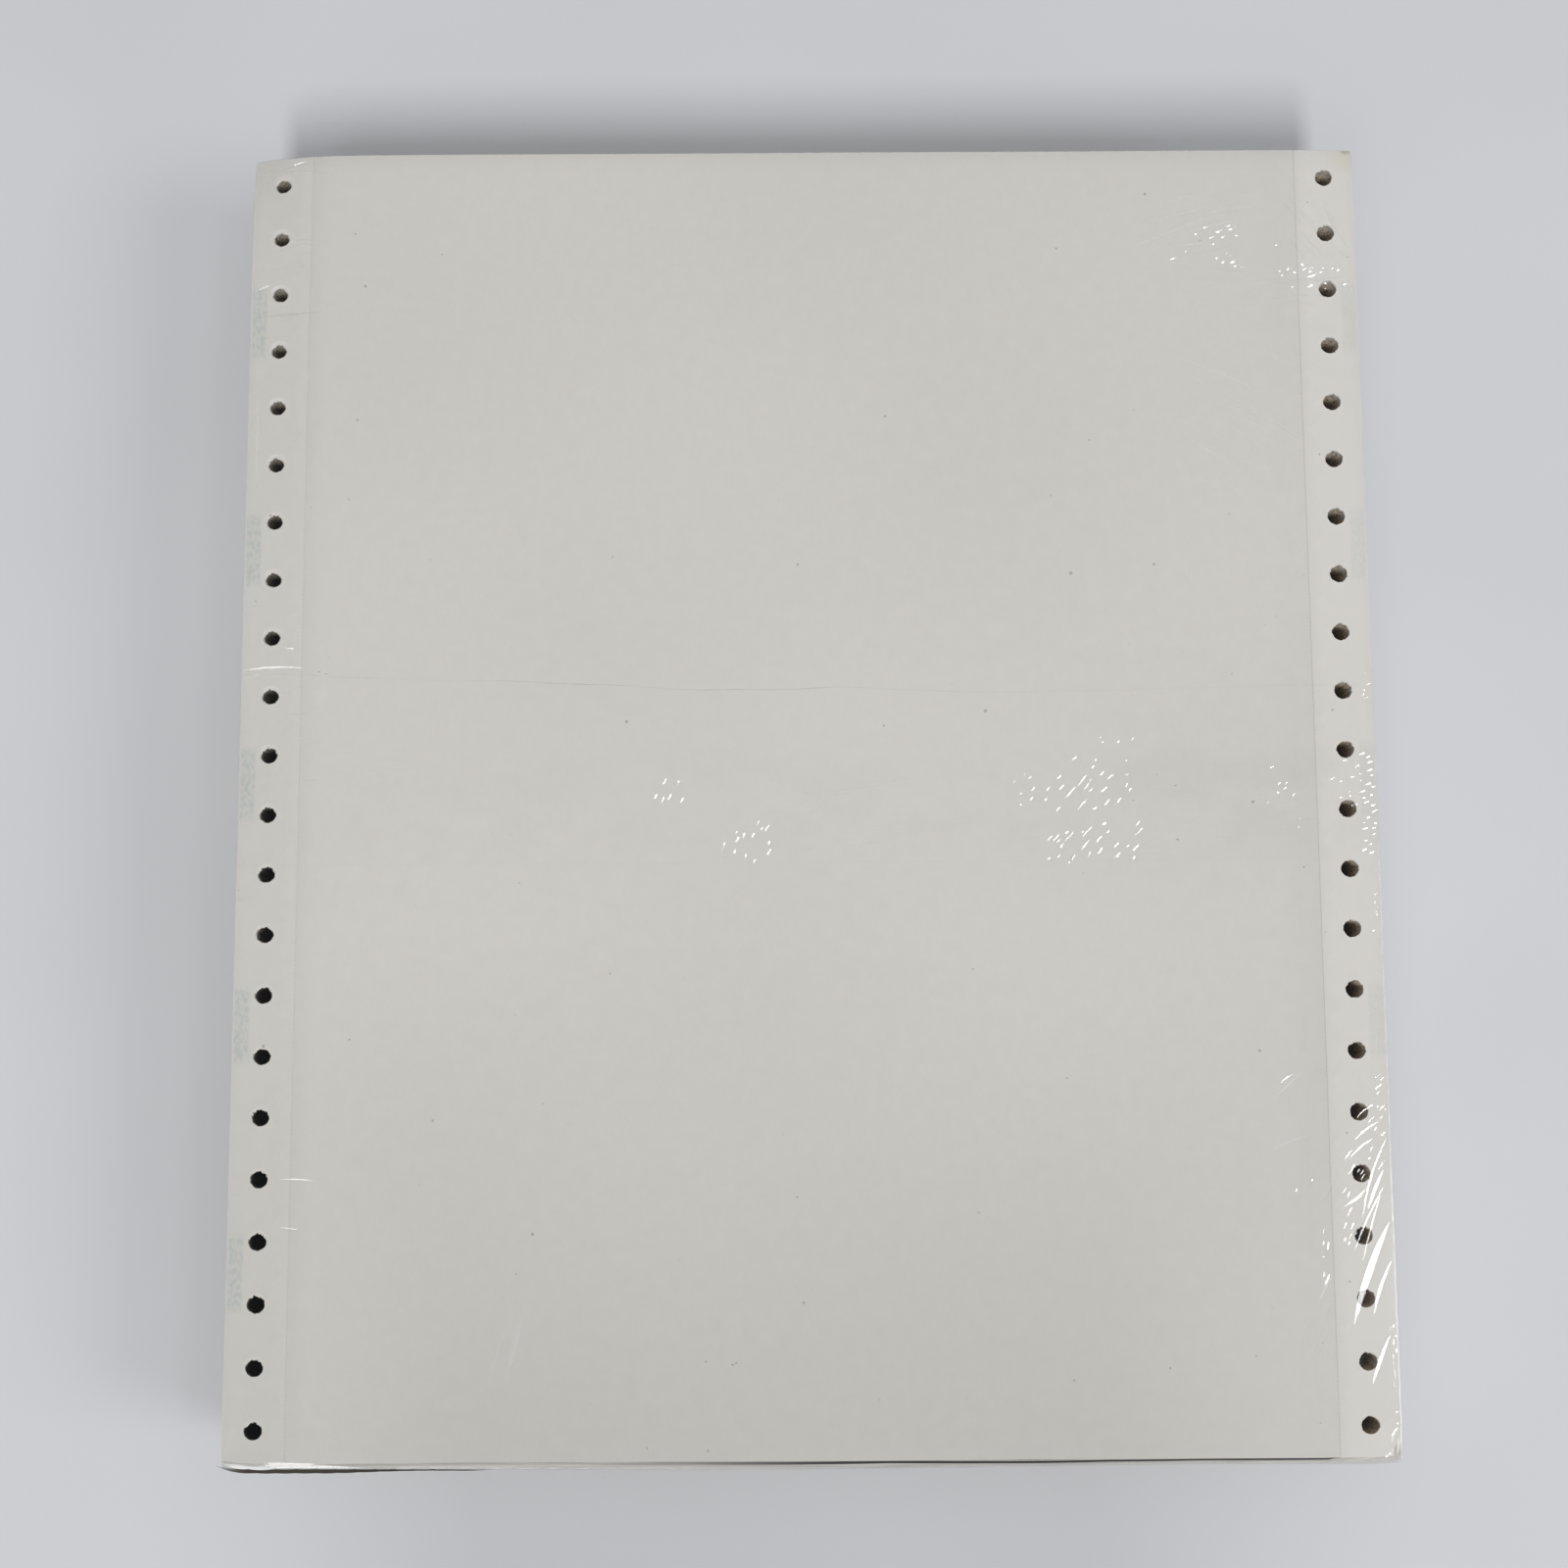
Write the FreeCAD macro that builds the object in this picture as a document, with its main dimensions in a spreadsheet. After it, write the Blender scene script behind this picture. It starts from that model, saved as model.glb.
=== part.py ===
"""Fanfold computer paper: a film-wrapped pack of continuous forms, as a parametric document.

The pack lies on its bottom face. Z is up, Y runs from the folded front edge to the back, X runs
across the forms, and the origin is the middle of the bottom of the film. Sizes are in millimetres.

The web of paper is one piece: it turns back on itself at the end of every form, by turns at the
front and at the back, so the stack is one solid with a rounded fold for each turn. The film is
one closed skin round it, with one more layer where its two ends lap over each other on top.
"""
import FreeCAD, Part
import os
import Sketcher

SIZES = [
    ("form_width", 241.3, "width of the web, both punched margins included"),
    ("form_length", 279.4, "length of one form, from fold to fold"),
    ("sheet_count", 500, "forms in the stack"),
    ("sheet_thickness", 0.092, "one layer of paper in the pressed stack"),
    ("hole_pitch", 12.7, "step from one punched hole to the next"),
    ("hole_diameter", 3.97, "punched hole for the feed pins"),
    ("hole_inset", 6.35, "centre of a hole to the nearest side edge"),
    ("tear_inset", 12.7, "tear line to the nearest side edge"),
    ("tear_width", 0.2, "mouth of the groove along a tear line"),
    ("tear_depth", 0.08, "depth of that groove"),
    ("fold_gap", 0.12, "mouth of the groove between one fold and the next"),
    ("fold_relief", 0.045, "depth of that groove"),
    ("film_thickness", 0.05, "one layer of the shrunk film"),
    ("lap_width", 40.0, "how far the two ends of the film overlap"),
    ("lap_offset", 2.0, "middle of the lap behind the middle of the forms"),
]

# Expressions that several features share. A stack of n forms turns n - 1 times: the first turn
# below the top form is at the front, one pitch of two layers above the next one there.
STACK_HEIGHT = "Sizes.sheet_count * Sizes.sheet_thickness"
HOLE_COUNT = "round(Sizes.form_length / Sizes.hole_pitch)"
FOLD_PITCH = "2 * Sizes.sheet_thickness"
FRONT_GROOVES = "floor((Sizes.sheet_count - 1) / 2)"
BACK_GROOVES = "floor(Sizes.sheet_count / 2)"

# How a sketch names its own origin, and the start, end and centre of an edge.
ORIGIN = (-1, 1)
START, END, CENTRE = 1, 2, 3


def size_sheet(doc):
    """The driving dimensions, one row each: name, value, meaning."""
    sheet = doc.addObject("Spreadsheet::Sheet", "Sizes")
    for row, (alias, value, meaning) in enumerate(SIZES, start=1):
        sheet.set(f"A{row}", alias)
        sheet.set(f"B{row}", str(value))
        sheet.set(f"C{row}", meaning)
        sheet.setAlias(f"B{row}", alias)
    doc.recompute()


def origin_item(body, role):
    """The body's own origin plane or axis with this role."""
    return next(item for item in body.Origin.OriginFeatures if item.Role == role)


def sketch_on(body, name, role, height):
    """An empty sketch on one of the body's own planes, moved along its normal by an expression."""
    sketch = body.newObject("Sketcher::SketchObject", name)
    sketch.AttachmentSupport = [(origin_item(body, role), "")]
    sketch.MapMode = "FlatFace"
    sketch.setExpression("AttachmentOffset.Base.z", height)
    return sketch


def value_of(item, expression):
    """What an expression on the sheet comes to, in millimetres."""
    return float(item.evalExpression(expression))


def dimension(sketch, kind, items, name, expression):
    """A dimension of the sketch that follows an expression on the sheet."""
    drawn = value_of(sketch, expression)
    place = sketch.addConstraint(Sketcher.Constraint(kind, *items, drawn))
    sketch.renameConstraint(place, name)
    sketch.setExpression(f"Constraints.{name}", expression)


def offset_x(sketch, point, side, name, expression):
    """Hold a point this far from the sketch's origin, to the left (-1) or to the right (1)."""
    ends = (*ORIGIN, *point) if side > 0 else (*point, *ORIGIN)
    dimension(sketch, "DistanceX", ends, name, expression)


def draw_line(sketch, start, end):
    """A straight edge between two points, each given as (x, y)."""
    return sketch.addGeometry(Part.LineSegment(FreeCAD.Vector(*start, 0), FreeCAD.Vector(*end, 0)))


def draw_rectangle(sketch, width, length, middle="0"):
    """A rectangle centred across X, its middle this far up the sketch, tied to expressions."""
    half_width = value_of(sketch, width) / 2
    half_length = value_of(sketch, length) / 2
    centre = value_of(sketch, middle)
    corners = [
        (-half_width, centre - half_length),
        (half_width, centre - half_length),
        (half_width, centre + half_length),
        (-half_width, centre + half_length),
    ]
    edges = [draw_line(sketch, corners[step], corners[(step + 1) % 4]) for step in range(4)]
    bottom, right, top, left = edges
    for step in range(4):
        ends = (edges[step], END, edges[(step + 1) % 4], START)
        sketch.addConstraint(Sketcher.Constraint("Coincident", *ends))
    for edge in (bottom, top):
        sketch.addConstraint(Sketcher.Constraint("Horizontal", edge))
    for edge in (right, left):
        sketch.addConstraint(Sketcher.Constraint("Vertical", edge))
    offset_x(sketch, (bottom, START), -1, "left_edge", f"({width}) / 2")
    dimension(sketch, "DistanceX", (bottom, START, bottom, END), "width", width)
    dimension(sketch, "DistanceY", (right, START, right, END), "length", length)
    dimension(sketch, "DistanceY", (*ORIGIN, right, END), "back_edge", f"({length}) / 2 + {middle}")


def add_pad(body, sketch, name, height):
    """Raise a sketch along its normal by an expression."""
    pad = body.newObject("PartDesign::Pad", name)
    pad.Profile = sketch
    pad.setExpression("Length", height)
    body.Document.recompute()


def add_pocket(body, sketch, name, depth=None):
    """Cut a sketch against its normal, by an expression or right through, and see that it cut."""
    whole = body.Shape.Volume
    pocket = body.newObject("PartDesign::Pocket", name)
    pocket.Profile = sketch
    pocket.Refine = False
    if depth is None:
        pocket.Type = "ThroughAll"
    else:
        pocket.setExpression("Length", depth)
    body.Document.recompute()
    if not body.Shape.Volume < whole:
        raise RuntimeError(f"{name} cuts nothing")
    return pocket


def repeat(body, feature, name, role, spacing, count, backwards=False):
    """Repeat a feature along one of the body's own axes."""
    pattern = body.newObject("PartDesign::LinearPattern", name)
    pattern.Originals = [feature]
    pattern.Direction = (origin_item(body, role), [""])
    pattern.Reversed = backwards
    pattern.Mode = "Spacing"
    pattern.Refine = False
    pattern.setExpression("Offset", spacing)
    pattern.setExpression("Occurrences", count)
    body.Tip = pattern
    body.Document.recompute()


def punch_feed_holes(body):
    """The row of holes down each margin, for the pins of a printer's tractor."""
    sketch = sketch_on(body, "feed_hole_pair", "XY_Plane", STACK_HEIGHT)
    across = "Sizes.form_width / 2 - Sizes.hole_inset"
    first = f"({HOLE_COUNT} - 1) * Sizes.hole_pitch / 2"
    for side, name in ((-1, "left"), (1, "right")):
        centre = FreeCAD.Vector(side * value_of(sketch, across), -value_of(sketch, first), 0)
        radius = value_of(sketch, "Sizes.hole_diameter / 2")
        hole = sketch.addGeometry(Part.Circle(centre, FreeCAD.Vector(0, 0, 1), radius))
        offset_x(sketch, (hole, CENTRE), side, f"{name}_across", across)
        dimension(sketch, "DistanceY", (hole, CENTRE, *ORIGIN), f"{name}_first", first)
        dimension(sketch, "Diameter", (hole,), f"{name}_diameter", "Sizes.hole_diameter")
    pocket = add_pocket(body, sketch, "feed_holes_front")
    repeat(body, pocket, "feed_holes", "Y_Axis", "Sizes.hole_pitch", HOLE_COUNT)


def press_tear_lines(body):
    """A fine groove inside each row of holes, on the top form and on the bottom form."""
    sketch = sketch_on(body, "tear_grooves", "XZ_Plane", "Sizes.form_length / 2")
    across = "Sizes.form_width / 2 - Sizes.tear_inset"
    half_mouth = value_of(sketch, "Sizes.tear_width / 2")
    depth = value_of(sketch, "Sizes.tear_depth")
    top = value_of(sketch, STACK_HEIGHT)
    for side, side_name in ((-1, "left"), (1, "right")):
        middle = side * value_of(sketch, across)
        for face, inward, face_name in ((0, 1, "bottom"), (top, -1, "top")):
            name = f"{side_name}_{face_name}"
            root = (middle, face + inward * depth)
            near = (middle - half_mouth, face)
            far = (middle + half_mouth, face)
            mouth = draw_line(sketch, near, far)
            falling = draw_line(sketch, far, root)
            rising = draw_line(sketch, root, near)
            for ends in ((mouth, falling), (falling, rising), (rising, mouth)):
                sketch.addConstraint(Sketcher.Constraint("Coincident", ends[0], END, ends[1], START))
            sketch.addConstraint(Sketcher.Constraint("Horizontal", mouth))
            sketch.addConstraint(Sketcher.Constraint("Equal", falling, rising))
            dimension(sketch, "DistanceX", (mouth, START, mouth, END), f"{name}_mouth", "Sizes.tear_width")
            offset_x(sketch, (rising, START), side, f"{name}_across", across)
            if face_name == "top":
                dimension(sketch, "DistanceY", (*ORIGIN, mouth, START), f"{name}_face", STACK_HEIGHT)
                ends = (rising, START, mouth, START)
            else:
                sketch.addConstraint(Sketcher.Constraint("PointOnObject", mouth, START, -1))
                ends = (mouth, START, rising, START)
            dimension(sketch, "DistanceY", ends, f"{name}_depth", "Sizes.tear_depth")
    add_pocket(body, sketch, "tear_lines")


def open_folds(body, name, side, height, count):
    """The grooves between neighbouring folds at the front (side -1) or at the back (side 1).

    Each groove has a flat mouth and two arcs that meet in its root, so that every fold keeps a
    rounded nose. The first groove is at this height, and the rest follow below it.
    """
    sketch = sketch_on(body, f"{name}_groove", "YZ_Plane", "Sizes.form_width / 2")
    half_gap = value_of(sketch, "Sizes.fold_gap / 2")
    relief = value_of(sketch, "Sizes.fold_relief")
    radius = (relief ** 2 + half_gap ** 2) / (2 * relief)
    face = side * value_of(sketch, "Sizes.form_length / 2")
    level = value_of(sketch, height)
    root = FreeCAD.Vector(face - side * relief, level, 0)
    mouth = draw_line(sketch, (face, level - half_gap), (face, level + half_gap))
    sketch.addConstraint(Sketcher.Constraint("Vertical", mouth))
    arcs = []
    for end, rise in ((START, -half_gap), (END, half_gap)):
        lip = FreeCAD.Vector(face, level + rise, 0)
        centre = FreeCAD.Vector(face - side * radius, level + rise, 0)
        between = centre + ((lip - centre) + (root - centre)).normalize() * radius
        arc = sketch.addGeometry(Part.Arc(lip, between, root))
        starts_at_lip = sketch.getPoint(arc, START).distanceToPoint(lip) < relief / 2
        at_lip, at_root = (START, END) if starts_at_lip else (END, START)
        sketch.addConstraint(Sketcher.Constraint("Coincident", mouth, end, arc, at_lip))
        sketch.addConstraint(Sketcher.Constraint("Horizontal", arc, CENTRE, mouth, end))
        arcs.append((arc, at_root))
    (lower, lower_root), (upper, upper_root) = arcs
    sketch.addConstraint(Sketcher.Constraint("Coincident", lower, lower_root, upper, upper_root))
    sketch.addConstraint(Sketcher.Constraint("Equal", lower, upper))
    inward = (lower, lower_root, mouth, START) if side > 0 else (mouth, START, lower, lower_root)
    offset_x(sketch, (mouth, START), side, "face", "Sizes.form_length / 2")
    dimension(sketch, "DistanceX", inward, "relief", "Sizes.fold_relief")
    dimension(sketch, "DistanceY", (mouth, START, mouth, END), "gap", "Sizes.fold_gap")
    dimension(sketch, "DistanceY", (*ORIGIN, lower, lower_root), "height", height)
    pocket = add_pocket(body, sketch, f"{name}_groove_top")
    repeat(body, pocket, f"{name}_grooves", "Z_Axis", FOLD_PITCH, count, backwards=True)


def make_paper_stack(doc):
    """The folded web: a block of forms, punched, with its tear lines and the folds at its ends."""
    body = doc.addObject("PartDesign::Body", "paper_stack")
    body.setExpression("Placement.Base.z", "Sizes.film_thickness")
    outline = sketch_on(body, "form_outline", "XY_Plane", "0")
    draw_rectangle(outline, "Sizes.form_width", "Sizes.form_length")
    add_pad(body, outline, "forms", STACK_HEIGHT)
    punch_feed_holes(body)
    press_tear_lines(body)
    first_front = f"{STACK_HEIGHT} - {FOLD_PITCH}"
    first_back = f"{STACK_HEIGHT} - Sizes.sheet_thickness"
    open_folds(body, "front", -1, first_front, FRONT_GROOVES)
    open_folds(body, "back", 1, first_back, BACK_GROOVES)
    return body


def make_shrink_film(doc):
    """The clear skin: closed round the stack, face to face with it, with a lap across its top."""
    body = doc.addObject("PartDesign::Body", "shrink_film")
    skin_width = "Sizes.form_width + 2 * Sizes.film_thickness"
    skin_length = "Sizes.form_length + 2 * Sizes.film_thickness"
    skin_height = f"{STACK_HEIGHT} + 2 * Sizes.film_thickness"
    outside = sketch_on(body, "skin_outline", "XY_Plane", "0")
    draw_rectangle(outside, skin_width, skin_length)
    add_pad(body, outside, "skin", skin_height)
    inside = sketch_on(body, "stack_outline", "XY_Plane", f"{STACK_HEIGHT} + Sizes.film_thickness")
    draw_rectangle(inside, "Sizes.form_width", "Sizes.form_length")
    add_pocket(body, inside, "stack_space", STACK_HEIGHT)
    lap = sketch_on(body, "lap_outline", "XY_Plane", skin_height)
    draw_rectangle(lap, skin_width, "Sizes.lap_width", "Sizes.lap_offset")
    add_pad(body, lap, "lap", "Sizes.film_thickness")
    return body


def check(doc, bodies):
    """Refuse a document with a failed feature, or a piece that isn't one valid solid."""
    for item in doc.Objects:
        if {"Invalid", "Error"} & set(item.State):
            raise RuntimeError(f"{item.Label} failed: {item.State}")
    for body in bodies:
        shape = body.Shape
        if shape.isNull() or not shape.isValid() or len(shape.Solids) != 1:
            raise RuntimeError(f"{body.Label} isn't one valid solid")


def main():
    doc = FreeCAD.newDocument("fanfold_paper")
    size_sheet(doc)
    bodies = [make_paper_stack(doc), make_shrink_film(doc)]
    doc.recompute()
    check(doc, bodies)
    os.makedirs("parts", exist_ok=True)
    for body in bodies:
        body.Shape.exportStep(f"parts/{body.Label}.step")
        box = body.Shape.BoundBox
        print(body.Label, f"{body.Shape.Volume:.1f} mm3", f"{len(body.Shape.Faces)} faces",
              f"z {box.ZMin:.3f} to {box.ZMax:.3f}")


main()
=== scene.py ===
import math

import bmesh
import bpy
import numpy as np
from mathutils import Matrix, Vector


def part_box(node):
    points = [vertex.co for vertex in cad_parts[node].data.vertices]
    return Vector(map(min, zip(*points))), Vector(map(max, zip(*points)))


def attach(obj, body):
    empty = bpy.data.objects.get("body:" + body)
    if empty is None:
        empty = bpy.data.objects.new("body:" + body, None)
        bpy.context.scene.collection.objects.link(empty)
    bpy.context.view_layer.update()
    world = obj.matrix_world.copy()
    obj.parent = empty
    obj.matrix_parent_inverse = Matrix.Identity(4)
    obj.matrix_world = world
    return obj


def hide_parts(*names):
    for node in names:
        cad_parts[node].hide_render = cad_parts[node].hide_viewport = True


bl_info = {
    "name": "Fanfold computer paper",
    "version": (1, 0, 0),
    "blender": (4, 5, 0),
    "location": "View3D > Sidebar > Fanfold",
    "description": "A pack of fanfold computer paper in clear shrink film",
    "category": "Object",
}

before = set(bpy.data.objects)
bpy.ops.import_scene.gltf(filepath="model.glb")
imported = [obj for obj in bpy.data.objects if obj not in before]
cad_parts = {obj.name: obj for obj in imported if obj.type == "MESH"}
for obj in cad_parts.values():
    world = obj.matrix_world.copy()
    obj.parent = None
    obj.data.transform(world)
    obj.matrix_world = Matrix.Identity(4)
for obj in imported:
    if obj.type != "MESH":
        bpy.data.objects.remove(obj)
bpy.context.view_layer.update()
PAPER_LOW, PAPER_HIGH = (1000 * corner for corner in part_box("paper_stack"))
FILM_LOW, FILM_HIGH = (1000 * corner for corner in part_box("shrink_film"))

# The shapes are worked out in millimetres and made in metres.
MM = 0.001
HALF_WIDTH = PAPER_HIGH.x
HALF_LENGTH = PAPER_HIGH.y
TOP = PAPER_HIGH.z
BOTTOM = PAPER_LOW.z

MERGE = 0.01                # points nearer than this become one, in mm

HOLE_PLACES = 32            # points round a feed hole
TILE_STEPS = 8              # edge pieces along one side of a feed hole's square
RIM_WIDTH = 0.3             # ring of faces round a feed hole, in mm
APRON_WIDTH = 1.6           # the hole's rim to the outside of the next ring, in mm
# how deep the rings of points down the wall of a feed hole lie, in mm
HOLE_DEPTHS = (0.2, 0.5, 1.0, 1.8, 3.0, 5.0, 8.0, 12.0, 17.0, 23.0, 30.0, 37.0, TOP - BOTTOM)
GROOVE_WIDTH = 0.3          # the pressed groove along a tear line, in mm
GROOVE_DEPTH = 0.07
PANEL_COLUMNS = 51          # faces across the sheet between the tear lines
SIDE_COLUMNS = 28           # faces along a long side of the stack
END_COLUMNS = 16            # faces along an end
LOWEST_FOLD = BOTTOM + 0.15
HIGHEST_FOLD = TOP - 0.2
SHEET_EDGE = 0.09           # the outermost sheets' own edge, in mm

# how far the sheets' edges lie in from the full block, in mm
INSET = 0.22
INSET_LIMITS = (0.05, 0.75)
HALFWAY_INSET = 0.14        # more at half the height
WANDER = 0.12               # slowly from sheet to sheet
JOG = 0.035                 # from each sheet to the next
FOLD_GROOVE = 0.09          # between two folds
CUT_STEP = 0.05             # between two cut edges

FILM_PITCH = 2.2            # spacing of the film's grid
EDGE_ZONE = 0.5             # how near an edge of the film its sides' shape comes in, in mm
LAP_STEP = 0.06             # half the width of the step at an edge of the lap

EYE = np.array((-5.0, -66.25, TOP + 486.6))         # the camera's place, in mm
EYE_TURN = (7.689, 0.039, -0.318)                   # and its turn, in degrees
SMALL_LAMP = np.array((0.370, -0.102, 0.923))       # the way from the pack to the small lamp
LIP_LAMP = np.array((-0.235, -0.490, 0.840))        # the way to the lamp that lights the front lip
BACKDROP = (0.575, 0.585, 0.61, 1)                  # beyond the floor and mirrored in the film
CARD_PLACE = (0.008, -0.515, 0.6)                   # the shade card's middle, in m
CARD_SIZE = (0.175, 0.085, 1)


# ---------------------------------------------------------------- settings

class FanfoldPaperSettings(bpy.types.PropertyGroup):
    hole_diameter: bpy.props.FloatProperty(
        name="Feed hole", description="Width of a feed hole, in mm", default=3.97, min=1.0)
    hole_pitch: bpy.props.FloatProperty(
        name="Hole pitch", description="From one feed hole to the next, in mm", default=12.7, min=5.0)
    strip_width: bpy.props.FloatProperty(
        name="Strip", description="Width of the tear-off strip, in mm", default=12.7, min=6.0)
    fold_count: bpy.props.IntProperty(
        name="Folds", description="Folds along one end of the stack", default=250, min=10, max=400)
    left_drop: bpy.props.FloatProperty(
        name="Left drop", description="How far the left strip's edge bends down, in mm", default=0.45)
    right_drop: bpy.props.FloatProperty(
        name="Right drop", description="How far the right strip's edge bends down, in mm", default=0.35)
    front_bulge: bpy.props.FloatProperty(
        name="Front bulge", description="How far the sheets under the top stand out at the front, in mm",
        default=1.9)
    raggedness: bpy.props.FloatProperty(
        name="Raggedness", description="How unevenly the sheets are punched, in mm", default=0.07)
    paper_colour: bpy.props.FloatVectorProperty(
        name="Paper", description="Colour of the paper", subtype="COLOR", size=3,
        default=(0.618, 0.594, 0.553))
    seed: bpy.props.IntProperty(
        name="Seed", description="Start of the random draws", default=11)


class FanfoldFilmSettings(bpy.types.PropertyGroup):
    thickness: bpy.props.FloatProperty(
        name="Thickness", description="Thickness of the film, in mm", default=0.05, min=0.02)
    edge_round: bpy.props.FloatProperty(
        name="Edge", description="Rounding of the film over the stack's edges, in mm", default=0.35)
    lap_front: bpy.props.FloatProperty(
        name="Lap front", description="Front edge of the lap, in mm from the middle", default=-17.3)
    gloss_roughness: bpy.props.FloatProperty(
        name="Gloss", description="Roughness of the film's surface", default=0.11, min=0.0, max=1.0)
    seed: bpy.props.IntProperty(
        name="Seed", description="Start of the random draws", default=23)


class FanfoldStageSettings(bpy.types.PropertyGroup):
    floor_colour: bpy.props.FloatVectorProperty(
        name="Floor", description="Colour of the floor", subtype="COLOR", size=3,
        default=(0.628, 0.633, 0.655))
    fill: bpy.props.FloatProperty(
        name="Fill", description="Strength of the light from all round", default=0.25)
    mirrored: bpy.props.FloatProperty(
        name="Mirrored", description="How bright the surroundings look in the film", default=0.5)
    front_light: bpy.props.FloatProperty(
        name="Front light", description="Share of the light that comes from the front", default=0.40)
    side_light: bpy.props.FloatProperty(
        name="Side light", description="Share of the light that comes from the right", default=0.15)
    small_light: bpy.props.FloatProperty(
        name="Small lamp", description="Share of the light that comes from the small lamp", default=0.026)
    lip_light: bpy.props.FloatProperty(
        name="Lip lamp", description="Share of the light that falls on the front lip from the left",
        default=0.04)
    ceiling_light: bpy.props.FloatProperty(
        name="Ceiling", description="Share of the light that comes from above", default=0.135)
    lens: bpy.props.FloatProperty(
        name="Lens", description="Focal length of the camera, in mm", default=53.2, min=10.0)


# ---------------------------------------------------------------- modelling help

def only(*objects):
    """Selects these objects and nothing else."""
    bpy.ops.object.select_all(action="DESELECT")
    for item in objects:
        item.select_set(True)
    bpy.context.view_layer.objects.active = objects[0]


def edit(item):
    """Opens an object in edit mode with nothing selected."""
    only(item)
    bpy.ops.object.mode_set(mode="EDIT")
    bpy.ops.mesh.select_mode(type="VERT")
    bpy.ops.mesh.select_all(action="DESELECT")


def done():
    bpy.ops.object.mode_set(mode="OBJECT")


def pick(item, kind, test):
    """In edit mode, selects the points, edges or faces that pass a test, and nothing else."""
    bpy.ops.mesh.select_mode(type=kind)
    bpy.ops.mesh.select_all(action="DESELECT")
    shape = bmesh.from_edit_mesh(item.data)
    things = {"VERT": shape.verts, "EDGE": shape.edges, "FACE": shape.faces}[kind]
    for thing in things:
        if test(thing):
            thing.select_set(True)
    if kind == "VERT":
        shape.select_flush(True)
    bmesh.update_edit_mesh(item.data)


def pull(x=0.0, y=0.0, z=0.0):
    """Extrudes what is selected and moves it, in mm."""
    bpy.ops.mesh.extrude_region_move(TRANSFORM_OT_translate={"value": (x * MM, y * MM, z * MM)})


def widen(factor):
    """Scales what is selected in X and Y."""
    bpy.ops.transform.resize(value=(factor, factor, 1.0))


def points_of(item):
    """The places of a mesh's points, in mm, one row each."""
    flat = np.empty(len(item.data.vertices) * 3)
    item.data.vertices.foreach_get("co", flat)
    return flat.reshape(-1, 3) / MM


def place_points(item, points):
    item.data.vertices.foreach_set("co", (np.asarray(points) * MM).ravel())
    item.data.update()


def copy_of(item, x=0.0, y=0.0):
    """A copy with its own mesh, moved by an amount in mm."""
    made = item.copy()
    made.data = item.data.copy()
    made.data.transform(Matrix.Translation((x * MM, y * MM, 0)))
    bpy.context.scene.collection.objects.link(made)
    return made


def joined(items):
    """Makes one object of several. The first gives its name and origin."""
    only(*items)
    bpy.ops.object.join()
    return bpy.context.object


def apply_modifier(item, kind, **settings):
    only(item)
    made = item.modifiers.new(kind.title(), kind)
    for name, value in settings.items():
        setattr(made, name, value)
    bpy.ops.object.modifier_apply(modifier=made.name)


def settled(item):
    """Puts an object's place, turn and size into its mesh."""
    only(item)
    bpy.ops.object.transform_apply(location=True, rotation=True, scale=True)
    return item


def new_grid(columns, rows, half_x, half_y, level):
    """A level sheet of faces, its half sizes and height given in mm."""
    bpy.ops.object.select_all(action="DESELECT")
    bpy.ops.mesh.primitive_grid_add(
        x_subdivisions=columns, y_subdivisions=rows, size=1, location=(0, 0, level * MM))
    bpy.context.object.scale = (2 * half_x * MM, 2 * half_y * MM, 1)
    return settled(bpy.context.object)


def merge_points():
    """In edit mode, closes the seams between neighbouring parts."""
    bpy.ops.mesh.select_all(action="SELECT")
    bpy.ops.mesh.remove_doubles(threshold=MERGE * MM)


def face_outward():
    bpy.ops.mesh.select_all(action="SELECT")
    bpy.ops.mesh.normals_make_consistent(inside=False)


def smooth_shade(item, degrees):
    only(item)
    bpy.ops.object.shade_smooth_by_angle(angle=math.radians(degrees))


def ramp(value, low, high):
    """0 below low, 1 above high and a smooth curve between."""
    part = np.clip((np.asarray(value, float) - low) / (high - low), 0, 1)
    return part * part * (3 - 2 * part)


# ---------------------------------------------------------------- the pack's own shape

# corner's side and end, how deep it is pressed and how far that reaches, in mm
CORNER_DENTS = ((-1, 1, 1.9, 9.0), (1, -1, 1.1, 4.0), (-1, -1, 0.7, 4.0), (1, 1, 0.5, 5.0))


def tear_line(settings):
    """How far the tear lines lie from the middle, in mm."""
    return HALF_WIDTH - settings.strip_width


def first_hole(settings):
    """How many feed holes a margin has, and the y of the one nearest the front."""
    rows = round(2 * HALF_LENGTH / settings.hole_pitch)
    return rows, -(rows - 1) / 2 * settings.hole_pitch


def top_drop(x, y, settings):
    """How far the top of the stack lies under its full height, in mm."""
    x, y = np.asarray(x, float), np.asarray(y, float)
    line = tear_line(settings)
    left = np.clip((-x - line) / settings.strip_width, 0, 1.1)
    right = np.clip((x - line) / settings.strip_width, 0, 1.1)
    drop = settings.left_drop * left ** 1.2
    drop = drop + settings.right_drop * right * (0.75 + 0.25 * ramp(y, 110, 40))
    # long gentle swells of the sheet, and short ones that start at the front fold
    drop = drop + 0.10 * (1 + np.sin(x / 27 + 0.8) * np.cos(y / 34 + 0.4))
    drop = drop + 0.05 * (1 + np.sin(x / 13 - y / 31 + 2.0))
    front = np.exp(-np.clip(y + HALF_LENGTH, 0, None) / 14)
    drop = drop + 0.06 * front * (1 + np.sin(x / 2.9 + 1.3 * np.sin(x / 17)))
    for side, end, depth, reach in CORNER_DENTS:
        away = np.hypot(x - side * HALF_WIDTH, y - end * HALF_LENGTH)
        drop = drop + depth * np.exp(-(away / reach) ** 1.3)
    return drop


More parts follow.
